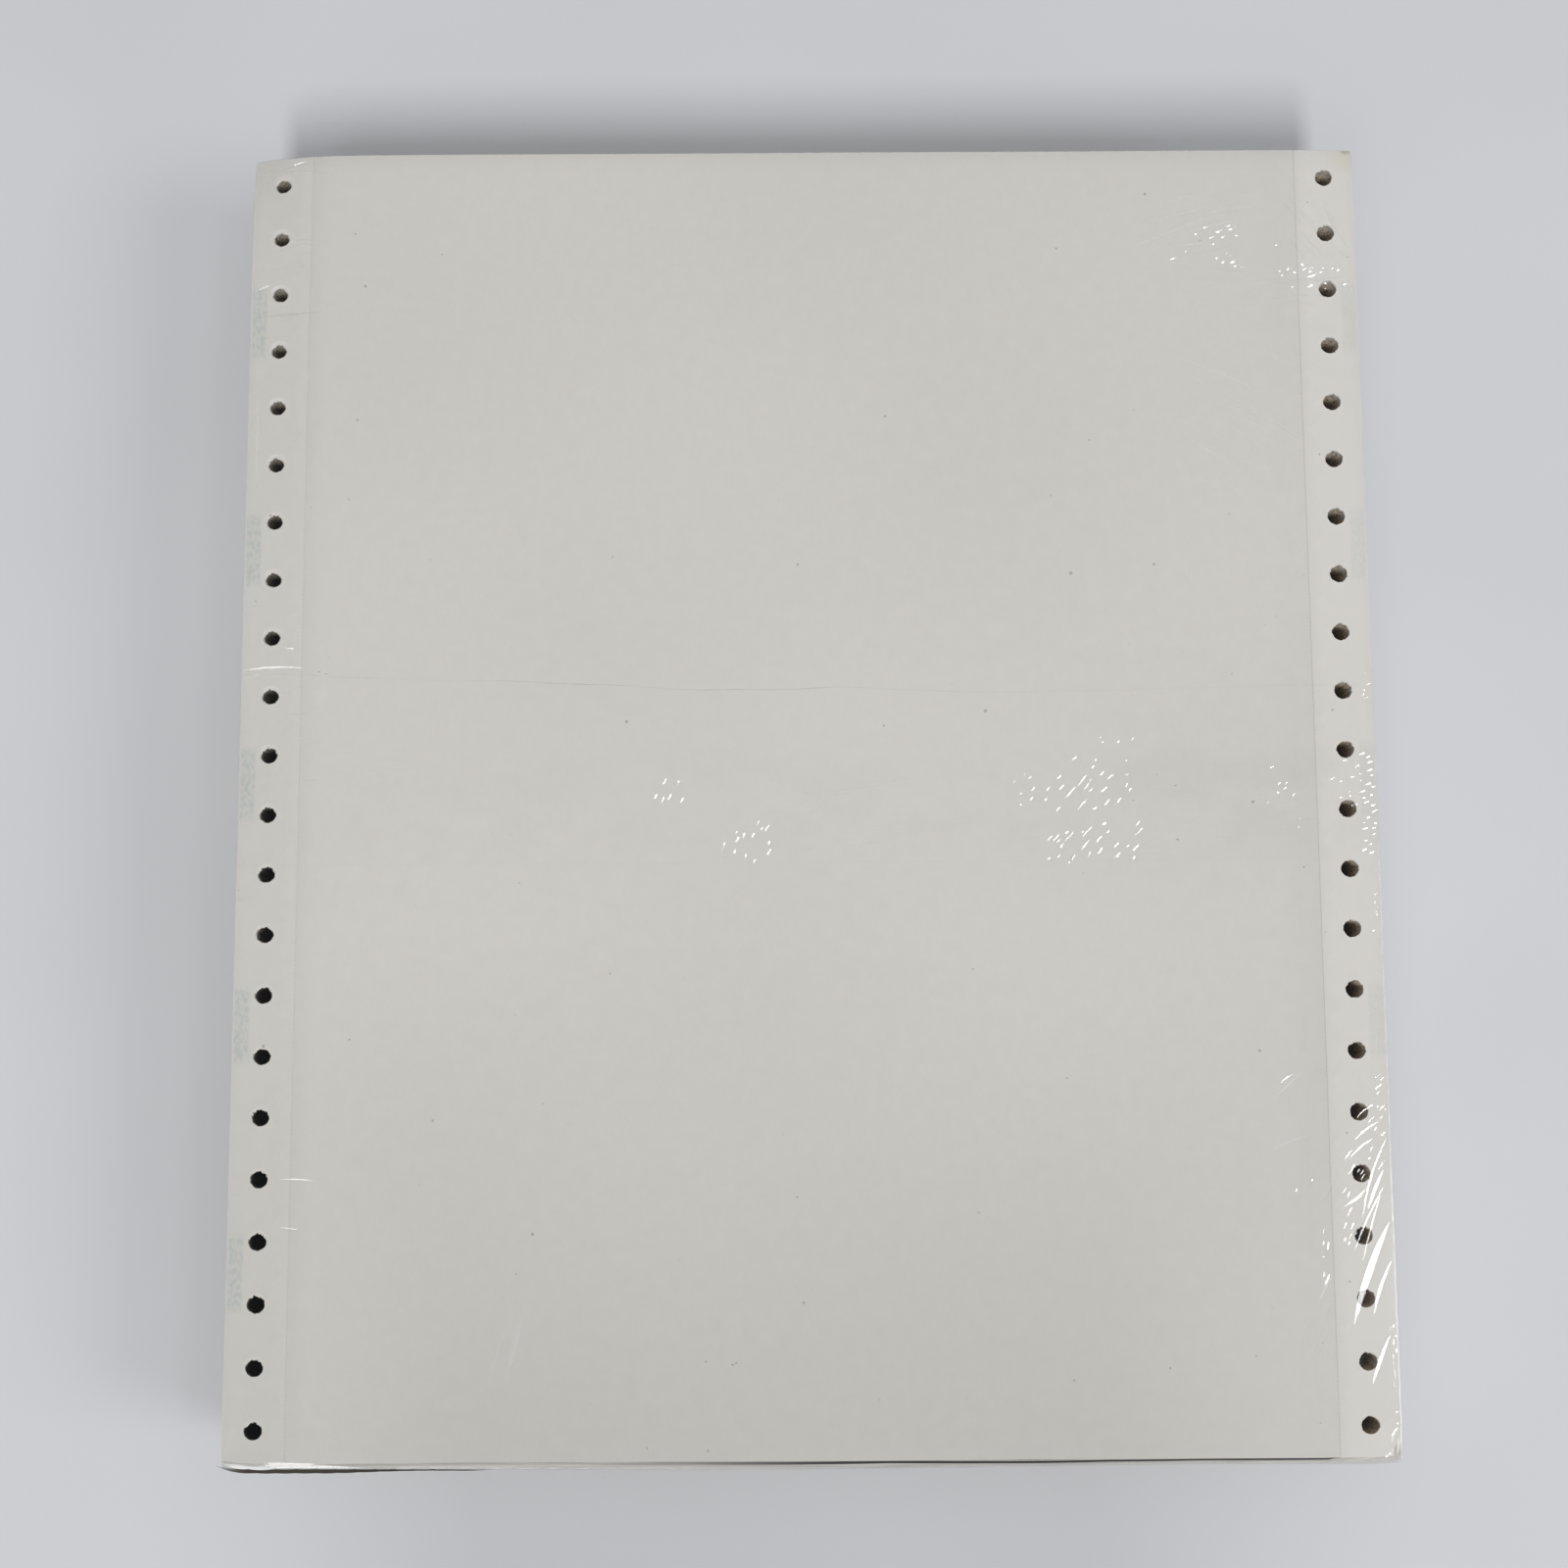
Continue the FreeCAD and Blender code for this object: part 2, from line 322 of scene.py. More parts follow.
def corner_pull(x, y):
    """How far the ends are pulled in at the corners, in mm along Y."""
    back_left = -1.1 * np.exp(-(x + HALF_WIDTH) / 6.0) * ramp(y, 118, HALF_LENGTH)
    front_left = 0.5 * np.exp(-(x + HALF_WIDTH) / 2.5) * ramp(-y, 128, HALF_LENGTH)
    front_right = 0.4 * np.exp(-(HALF_WIDTH - x) / 2.0) * ramp(-y, 128, HALF_LENGTH)
    return back_left + front_left + front_right


def fold_drop(y):
    """How far the top sheet bends down into its folds at both ends, in mm."""
    ends = np.clip(HALF_LENGTH - np.abs(y), 0, None)
    return 0.28 * np.exp(-ends / 1.4)


def front_reach(x, y, z, settings):
    """How far the front stands out: least at the top sheet, most a few sheets under it."""
    deep = np.clip((TOP - z) / (TOP - BOTTOM), 0, 1)
    swell = 0.12 + 0.88 * ramp(deep, 0.004, 0.03) - 0.7 * ramp(deep, 0.1, 0.9)
    uneven = 0.85 + 0.15 * np.sin(x / 31.0 + 2.0)
    return settings.front_bulge * swell * uneven * ramp(-y, HALF_LENGTH - 5, HALF_LENGTH)


def settle_stack(points, settings):
    """Presses a mesh of the full block down to the stack's own shape."""
    x, y, z = points.T
    share = ramp(z, BOTTOM + 0.45 * (TOP - BOTTOM), TOP)
    moved_z = z - (top_drop(x, y, settings) + fold_drop(y)) * share
    moved_y = y + corner_pull(x, y) * share - front_reach(x, y, z, settings)
    return np.stack([x, moved_y, moved_z], 1)


# ---------------------------------------------------------------- paper

def on_square(x, y, half):
    """Where a point of the ring round a feed hole lies on the square round it."""
    turns = round(math.atan2(y, x) / (2 * math.pi / HOLE_PLACES))
    side, step = divmod(turns + TILE_STEPS // 2, TILE_STEPS)
    along = (2 * step / TILE_STEPS - 1) * half
    return ((half, along), (-along, half), (-half, -along), (along, -half))[side % 4]


def make_hole_tile(settings):
    """One square of margin with its feed hole, from the top of the stack to the bottom."""
    radius = settings.hole_diameter / 2
    half = settings.hole_pitch / 2
    bpy.ops.object.select_all(action="DESELECT")
    bpy.ops.mesh.primitive_circle_add(
        vertices=HOLE_PLACES, radius=radius * MM, fill_type="NOTHING", location=(0, 0, 0))
    tile = settled(bpy.context.object)
    start = tile.data.vertices[0].co
    tile.data.transform(Matrix.Rotation(-math.atan2(start.y, start.x), 4, "Z"))
    tile.data.transform(Matrix.Translation((0, 0, TOP * MM)))
    edit(tile)
    for level in (TOP, BOTTOM):
        if level == BOTTOM:
            just_outside = (radius + 0.05) * MM
            pick(tile, "VERT", lambda v: v.co.xy.length < just_outside)
            for above, below in zip((0.0,) + HOLE_DEPTHS, HOLE_DEPTHS):
                pull(z=above - below)
        else:
            bpy.ops.mesh.select_all(action="SELECT")
        pull()
        widen((radius + RIM_WIDTH) / radius)
        pull()
        widen((radius + APRON_WIDTH) / (radius + RIM_WIDTH))
        pull()
        shape = bmesh.from_edit_mesh(tile.data)
        for vert in shape.verts:
            if vert.select:
                across, along = on_square(vert.co.x, vert.co.y, half)
                vert.co.x, vert.co.y = across * MM, along * MM
        bmesh.update_edit_mesh(tile.data)
    done()
    return tile


def make_panel(settings, level, rows, groove):
    """The sheet between the tear lines, with a fine pressed groove along each line."""
    half = tear_line(settings) - (GROOVE_WIDTH if groove else 0.0)
    panel = new_grid(PANEL_COLUMNS, rows, half, HALF_LENGTH, level)
    if groove:
        for side in (-1, 1):
            edit(panel)
            pick(panel, "VERT", lambda v: abs(v.co.x - side * half * MM) < MERGE / 10 * MM)
            pull(x=side * GROOVE_WIDTH / 2, z=-GROOVE_DEPTH)
            pull(x=side * GROOVE_WIDTH / 2, z=GROOVE_DEPTH)
            done()
    return panel


def make_walls(settings):
    """The four sides of the stack: one fold's height modelled, then repeated."""
    pitch = (HIGHEST_FOLD - LOWEST_FOLD) / settings.fold_count
    bpy.ops.object.select_all(action="DESELECT")
    bpy.ops.mesh.primitive_plane_add(size=1, location=(0, 0, LOWEST_FOLD * MM))
    bpy.context.object.scale = (2 * HALF_WIDTH * MM, 2 * HALF_LENGTH * MM, 1)
    walls = settled(bpy.context.object)
    edit(walls)
    bpy.ops.mesh.select_all(action="SELECT")
    bpy.ops.mesh.delete(type="ONLY_FACE")
    for axis, columns in ((1, SIDE_COLUMNS), (0, END_COLUMNS)):
        pick(walls, "EDGE", lambda e: (abs(e.verts[0].co[axis] - e.verts[1].co[axis])
                                       > 0.5 * HALF_WIDTH * MM))
        bpy.ops.mesh.subdivide(number_cuts=columns - 1)
    bpy.ops.mesh.select_all(action="SELECT")
    pull(z=pitch / 2)
    pull(z=pitch / 2)
    done()
    apply_modifier(walls, "ARRAY", count=settings.fold_count, use_relative_offset=False,
                   use_constant_offset=True, constant_offset_displace=(0, 0, pitch * MM),
                   use_merge_vertices=True, merge_threshold=2 * MERGE * MM)
    return walls


def lay_sheets(walls, settings):
    """Moves the sheets' edges in and out, each fold by its own amount."""
    draws = np.random.default_rng(settings.seed)
    points = points_of(walls)
    x, y, z = points.T
    pitch = (HIGHEST_FOLD - LOWEST_FOLD) / settings.fold_count
    rings = 2 * settings.fold_count + 1
    ring = np.clip(np.rint((z - LOWEST_FOLD) / (pitch / 2)).astype(int), 0, rings - 1)
    height = np.arange(rings) / (rings - 1)
    moved = points.copy()
    for axis, half, along, wave in ((0, HALF_WIDTH, y, 31.0), (1, HALF_LENGTH, x, 27.0)):
        for side in (-1, 1):
            wander = np.cumsum(draws.normal(0, 1, rings))
            wander -= np.linspace(wander[0], wander[-1], rings)
            wander /= max(1e-6, np.abs(wander).max())
            swell = HALFWAY_INSET * np.sin(math.pi * height) + WANDER * wander
            jogs = np.repeat(draws.normal(0, JOG, rings // 2 + 1), 2)[:rings]
            phase = draws.uniform(0, 6.28, 3)
            inset = INSET + swell + jogs
            if axis == 1:
                # a fold stands out between two grooves
                inset = inset + np.where(np.arange(rings) % 2 == 0, FOLD_GROOVE, 0.0)
            else:
                inset = inset + draws.uniform(0, CUT_STEP, rings)
            here = np.abs(points[:, axis] - side * half) < MERGE
            sway = (0.06 * np.sin(along / wave + phase[0] + z / 3.0)
                    + 0.05 * np.sin(along / 13 + phase[1] + z / 1.3))
            amount = np.clip(inset[ring] + sway, *INSET_LIMITS)
            moved[here, axis] -= side * amount[here]
    place_points(walls, moved)


def punch_unevenly(item, settings):
    """Gives each feed hole the ragged wall of many sheets punched at slightly different places."""
    draws = np.random.default_rng(settings.seed + 1)
    points = points_of(item)
    x, y, z = points.T
    rows, first = first_hole(settings)
    centre_x = np.sign(x) * (HALF_WIDTH - settings.strip_width / 2)
    row = np.clip(np.rint((y - first) / settings.hole_pitch), 0, rows - 1).astype(int)
    away_x, away_y = x - centre_x, y - (first + row * settings.hole_pitch)
    radius = np.hypot(away_x, away_y)
    hole = row + rows * (x > 0)
    turns = np.arctan2(away_y, away_x) / (2 * math.pi / HOLE_PLACES)
    place = np.rint(turns).astype(int) % HOLE_PLACES
    depths = np.array((0.0,) + HOLE_DEPTHS)
    level = np.abs((TOP - z)[:, None] - depths).argmin(1)
    # each hole is fluted from top to bottom, finely ragged, and drifts on the way down
    size = settings.raggedness
    flute = draws.normal(0, size, (2 * rows, HOLE_PLACES))
    fine = draws.normal(0, size * 0.8, (2 * rows, HOLE_PLACES, len(depths)))
    steps = np.sqrt(np.diff(depths, prepend=0.0))[None, :, None]
    drift = np.cumsum(draws.normal(0, size * 0.38, (2 * rows, len(depths), 2)) * steps, 1)
    deep = np.minimum(depths / 3.0, 1.0)[level]
    change = flute[hole, place] * (0.5 + 0.5 * deep) + fine[hole, place, level] * (0.5 + 0.5 * deep)
    # torn fibres hang into the hole just under the top, most of all on the side away from the front
    tooth = draws.uniform(0, 1, (2 * rows, HOLE_PLACES))[hole, place]
    upper = np.clip(away_y / np.maximum(radius, 0.1) + 0.25, 0, 1)
    back = ramp(y, -HALF_LENGTH, HALF_LENGTH) * (x < 0)
    burr = np.where(x > 0, 0.03, 0.14) + 0.14 * back + upper * (0.06 + 0.16 * back + 0.34 * tooth)
    inward = np.array([0.25, 1.0, 0.9] + [0.0] * (len(depths) - 3))[level] * burr
    wall = radius < settings.hole_diameter / 2 + 0.1
    grow = 1 + (np.clip(change - 0.6 * size, -0.35, 0.2) - inward) / np.maximum(radius, 0.1)
    moved = points.copy()
    moved[wall, 0] = (centre_x + away_x * grow + drift[hole, level, 0])[wall]
    moved[wall, 1] = (first + row * settings.hole_pitch + away_y * grow + drift[hole, level, 1])[wall]
    rim = wall & (level == 0)
    moved[rim, 2] += (0.06 * tooth)[rim]
    place_points(item, moved)


def join_to_walls(paper):
    """In edit mode, gives the outermost sheets an edge and joins it to the walls."""
    middle = (TOP + BOTTOM) / 2 * MM
    for level, way in ((TOP, -1), (BOTTOM, 1)):
        pick(paper, "EDGE", lambda e: e.is_boundary and all(
            abs(v.co.z - level * MM) < SHEET_EDGE / 2 * MM for v in e.verts))
        pull(z=way * SHEET_EDGE)
        pick(paper, "EDGE", lambda e: e.is_boundary and all(
            (v.co.z > middle) == (level == TOP) for v in e.verts))
        bpy.ops.mesh.bridge_edge_loops()


def make_paper(settings):
    """The stack: its top and bottom sheets, its walls and the feed holes through it."""
    rows, first = first_hole(settings)
    tile = make_hole_tile(settings)
    parts = []
    for side in (-1, 1):
        for row in range(rows):
            parts.append(copy_of(tile, side * (HALF_WIDTH - settings.strip_width / 2),
                                 first + row * settings.hole_pitch))
    bpy.data.objects.remove(tile)
    steps = rows * TILE_STEPS
    parts.append(make_panel(settings, TOP, steps, True))
    parts.append(make_panel(settings, BOTTOM, steps, False))
    sheets = joined(parts)
    edit(sheets)
    merge_points()
    done()
    punch_unevenly(sheets, settings)
    walls = make_walls(settings)
    lay_sheets(walls, settings)
    paper = joined([sheets, walls])
    edit(paper)
    join_to_walls(paper)
    face_outward()
    done()
    sort_faces(paper)
    points = points_of(paper)
    give_values(paper, "tone", paper_tone(points[:, 0], points[:, 1], settings))
    place_points(paper, settle_stack(points, settings))
    smooth_shade(paper, 35)
    paper.name = "paper_web"
    return paper


def paper_tone(x, y, settings):
    """How light the top is, from 0 to 1: cloudy, with painted shade that greys the left strip and painted
    light that makes the right one paler.
    """
    clouds = 0.5 + 0.035 * (np.sin(x / 17 + y / 29) + np.sin(x / 31 - y / 13 + 2)
                            + np.sin(y / 41 + 1.0 + np.sin(x / 23)))
    line = tear_line(settings) - 0.05
    # painted shade just inside the right tear line, where the sheet rises to the line, most of all near
    # the middle
    near_middle = ramp(np.abs(y + 30), 90, 20)
    painted_shade_by_line = 0.3 * ramp(x, line - 8, line - 1) * (x <= line) * (0.4 + 0.6 * near_middle)
    # painted light makes the right strip paler, most of all at the front; painted shade makes the left
    # strip greyer
    pale = 0.45 - 0.05 * np.cos(y / 45.0) + 0.35 * ramp(-y, 100, 130)
    return clouds + pale * (x > line) - 0.18 * (x < -line) - painted_shade_by_line


def sort_faces(paper):
    """Sheets take the first finish, the stack's sides the second, the walls of the holes the third."""
    margin = 0.8
    middle = (TOP + BOTTOM) / 2
    for face in paper.data.polygons:
        x, y, z = face.center / MM
        outer = abs(z - middle) > TOP - middle - 0.1
        if outer and abs(face.normal.z) > 0.7:
            face.material_index = 0
        elif abs(x) < HALF_WIDTH - margin and abs(y) < HALF_LENGTH - margin:
            face.material_index = 2
        else:
            face.material_index = 1


# ---------------------------------------------------------------- film

# x and y of the lap's back edge, in mm
SEAM_PLACES = (
    (-121, 23.7), (-104, 23.3), (-83, 22.2), (-64, 21.9), (-38, 20.7), (-22, 19.7), (-1, 19.9),
    (8, 20.3), (33, 19.0), (48, 19.0), (67, 19.3), (104, 20.1), (121, 20.0))
# rows of the grid beside an edge of the lap, and how far each lies from it, in mm
SEAM_ROWS = ((-1, -0.16), (0, -0.05), (1, 0.05), (2, 0.16))
# where along the lap's back edge its dark line is strongest: x, reach in mm, how much
SEAM_DARK_LINES = ((-55, 14.0, 1.0), (-12, 22.0, 1.0), (34, 7.0, 0.5), (-97, 5.0, 0.6))


class Skin:
    """Where the film's outside lies, for the skin itself and for the creases on it."""

    def __init__(self, film, paper):
        self.film, self.paper = film, paper
        self.half_x, self.half_y = FILM_HIGH.x, FILM_HIGH.y
        self.low, self.high = FILM_LOW.z, FILM_HIGH.z - film.thickness

    def seam(self, x):
        """The wavy back edge of the lap."""
        places, levels = zip(*SEAM_PLACES)
        return np.interp(x, places, levels) + 0.08 * np.sin(x / 3.7)

    def double(self, x, y):
        """1 where the film lies over its own end."""
        front, seam = self.film.lap_front, self.seam(x)
        return ramp(y, front - LAP_STEP, front + LAP_STEP) * (
            1 - ramp(y, seam - LAP_STEP, seam + LAP_STEP))

    def lip(self, x):
        """How wide the film's slack lip is along the front edge. It runs out to the right."""
        return 0.35 + 0.95 * ramp(x, -122.5, -119.5) * (1 - ramp(x, -112, -78))

    def drop(self, x, y):
        """The film follows the paper, but lies straighter."""
        slack = np.clip((self.lip(x) - (y + self.half_y)) / self.lip(x), 0, 1)
        return 0.7 * top_drop(x, y, self.paper) + slack * (0.25 * (self.lip(x) - 0.3) + 0.03)

    def share(self, z):
        """How much of what happens to the top a level below it shares."""
        return ramp(z, self.low + 0.45 * (self.high - self.low), self.high)

    def top(self, x, y):
        """The level of the film's top."""
        return self.high + self.film.thickness * self.double(x, y) - self.drop(x, y)

    def tilt(self, x, y):
        """Which way the film leans at a point of the top, as x and y parts of its slope."""
        step = 0.2
        return np.array([self.top(x - step, y) - self.top(x + step, y),
                         self.top(x, y - step) - self.top(x, y + step)]) / (2 * step)

    def halfway(self, z):
        """1 at half the height, 0 at the top and the bottom."""
        return np.sin(math.pi * np.clip((z - self.low) / (self.high - self.low), 0, 1))

    def side_inset(self, side, y, z):
        """How far a long side is drawn in. It is uneven where the film has shrunk."""
        uneven = 0.5 + 0.5 * np.sin(y / 7.0 + 0.05 * z * side) * np.sin(y / 19.0 + z / 9.0)
        return self.halfway(z) * (0.05 + 0.12 * uneven)

    def end_inset(self, x, z):
        """The same for an end."""
        uneven = 0.5 + 0.5 * np.sin(x / 8.0 + z / 21.0) * np.sin(x / 23.0 - z / 8.0)
        return self.halfway(z) * (0.04 + 0.08 * uneven)

    def end_shift(self, x, y, z):
        """How far the ends are drawn in at the corners and stand out at the front."""
        # the film bridges from the sheets that stand out to the top
        out = np.maximum(front_reach(x, y, z, self.paper), front_reach(x, y, z - 1.4, self.paper))
        return 0.8 * corner_pull(x, y) * self.share(z) - out

    def point(self, face, a, b, out=0.0):
        """A point on a face of the film. a, b are x, y on top, y, z on the sides, x, z on the ends."""
        if face == "top":
            return a, b + self.end_shift(a, b, self.high), self.top(a, b) + out
        side = 1 if face in ("right", "back") else -1
        if face in ("right", "left"):
            x = side * (self.half_x - self.side_inset(side, a, b) + out)
            return x, a + self.end_shift(x, a, b), b - self.drop(x, a) * self.share(b)
        y = side * (self.half_y - self.end_inset(a, b) + out)
        return a, y + self.end_shift(a, y, b), b - self.drop(a, y) * self.share(b)


def give_values(item, name, values):
    """Stores a number at each point of a mesh, for its material to read."""
    made = item.data.attributes.new(name, "FLOAT", "POINT")
    made.data.foreach_set("value", np.asarray(values, float))


def make_skin(skin):
    """The film: a grid over the top, drawn down the sides and closed underneath."""
    half_x, half_y, low, high = skin.half_x, skin.half_y, skin.low, skin.high
    columns, rows, levels = (
        round(size / FILM_PITCH) for size in (2 * half_x, 2 * half_y, high - low))
    item = new_grid(columns, rows, half_x, half_y, high)
    close_up_rows(item, skin, rows)
    edit(item)
    bpy.ops.mesh.select_all(action="SELECT")
    bpy.ops.mesh.duplicate_move(TRANSFORM_OT_translate={"value": (0, 0, (low - high) * MM)})
    bpy.ops.mesh.flip_normals()
    pick(item, "EDGE", lambda e: e.is_boundary and e.verts[0].co.z > (high - 1) * MM)
    for _ in range(levels):
        pull(z=(low - high) / levels)
    merge_points()
    face_outward()
    done()
    apply_modifier(item, "BEVEL", width=skin.film.edge_round * MM, segments=3,
                   limit_method="ANGLE", angle_limit=math.radians(60))
    shrink_on(item, skin)
    smooth_shade(item, 10)
    return item


def close_up_rows(item, skin, rows):
    """Moves four rows of the grid to each edge of the lap, and one to the front lip."""
    points = points_of(item)
    row = np.rint((points[:, 1] + skin.half_y) / (2 * skin.half_y) * rows).astype(int)
    for edge in (np.full(len(points), skin.film.lap_front), skin.seam(points[:, 0])):
        nearest = round((float(np.mean(edge)) + skin.half_y) / (2 * skin.half_y) * rows)
        for step, away in SEAM_ROWS:
            here = row == nearest + step
            points[here, 1] = edge[here] + away
    points[row == 1, 1] = -skin.half_y + np.maximum(skin.lip(points[row == 1, 0]), 0.8)
    place_points(item, points)


def shrink_on(item, skin):
    """Draws the film on to the stack and stores at its points how it looks there."""
    x, y, z = points_of(item).T
    half_x, half_y, high = skin.half_x, skin.half_y, skin.high
    on_top = ramp(z, high - EDGE_ZONE, high)
    at_side = ramp(np.abs(x), half_x - EDGE_ZONE, half_x)
    at_end = ramp(np.abs(y), half_y - EDGE_ZONE, half_y)
    lap = skin.film.thickness * skin.double(x, y) * (z > skin.low + EDGE_ZONE)
    moved_x = x + np.sign(x) * at_side * (lap - skin.side_inset(np.sign(x), y, z))
    moved_y = y + skin.end_shift(x, y, z) - np.sign(y) * at_end * skin.end_inset(x, z)
    moved_z = z + lap * on_top - skin.drop(x, y) * skin.share(z)
    place_points(item, np.stack([moved_x, moved_y, moved_z], 1))
    give_values(item, "dull", film_dullness(skin, x, y, z))
    give_values(item, "milky", np.zeros(len(x)))
    # the flat top mirrors less than the edges and the creases
    inside = np.minimum(half_x - np.abs(x), half_y - np.abs(y))
    give_values(item, "shine", 1 - 0.7 * ramp(inside, 1.2, 2.4) * on_top)


def film_dullness(skin, x, y, z):
    """Where the lap clings and where its edges show dark lines."""
    on_top = ramp(z, skin.high - 2, skin.high - 1)
    across = x + 5 * np.sin(y / 5.3)
    along = y + 2.5 * np.sin(x / 11.0 + 1.0) + 1.2 * np.sin(x / 4.1)
    streak = (np.sin(across / 13.0 + 1.0) + 1.2 * np.sin(along / 2.6 + 0.6)
              + np.sin(across / 5.0 - along / 3.0) + 0.8 * np.sin(across / 3.1 + along / 1.9 + 2.0))
    reach = ramp(y, -18, -15) * (1 - ramp(y + 2 * np.sin(x / 17.0), 1, 9))
    cling = ramp(streak, -0.4, 0.8) * reach * (0.45 + 0.55 * ramp(x, 20, 110))
    seam = np.abs(y - skin.seam(x)) < 0.1
    strong = sum(much * np.exp(-((x - place) / reach) ** 2) for place, reach, much in SEAM_DARK_LINES)
    broken = ramp(np.sin(x / 1.3) + np.sin(x / 3.7 + 1.0) + np.sin(x * 1.9), -0.6, 1.6)
    front = np.abs(y - skin.film.lap_front) < 0.1
    edges = np.where(seam, 0.05 + 0.3 * strong * (0.3 + 0.7 * broken) * on_top,
                     np.where(front, 0.03, 0.0))
    return np.maximum(0.05 * cling * on_top, edges)


RIDGE = 0.6             # where a crease's ridge lies across it, from -1 to 1
BROAD = 1 + RIDGE
SUNK = 0.02             # how far a crease's underside lies in the skin, in mm
LOW_CREASE = 0.03       # height of a crease that needs no particular slope, in mm
FAINT_CREASE = 0.02
LONG_CREASE = 6         # longer creases, in mm, have more faces along them
SHORT_CREASE = 3.2      # shorter ones keep their full height nearly to their ends
CELLS = 2               # cells to a mm where the creases' places are noted
GLINT_SHARE = 0.8       # glinting creases laid for each one listed


def make_crease_kinds():
    """A long and a short crease, each a closed ridge, to be drawn out to the size wanted."""
    kinds = []
    for pieces in (8, 4):
        bpy.ops.object.select_all(action="DESELECT")
        bpy.ops.mesh.primitive_cylinder_add(
            vertices=8, radius=MM, depth=MM, end_fill_type="TRIFAN", location=(0, 0, 0),
            rotation=(0, math.pi / 2, 0))
        ridge = settled(bpy.context.object)
        edit(ridge)
        pick(ridge, "EDGE", lambda e: abs(e.verts[0].co.x - e.verts[1].co.x) > 0.5 * MM)
        bpy.ops.mesh.subdivide(number_cuts=pieces - 1)
        done()
        points = points_of(ridge)
        along, side, up = points[:, 0] + 0.5, points[:, 1], points[:, 2]
        middle = np.hypot(side, up) < 0.1
        # the eight points round it become five across its upper side and three under it
        across = np.sign(side) * np.round(2 * side ** 2) / 2 * ~middle
        rise = np.where(middle, 0.3, np.where(up > -0.1, 1 - np.abs(across), -1))
        # the ridge moves to one side, so that one flank is broad and the other steep
        across = np.where(across < 0, RIDGE + across * BROAD, RIDGE + across * (1 - RIDGE))
        place_points(ridge, np.stack([along, across, rise], 1))
        kinds.append(ridge)
    return kinds


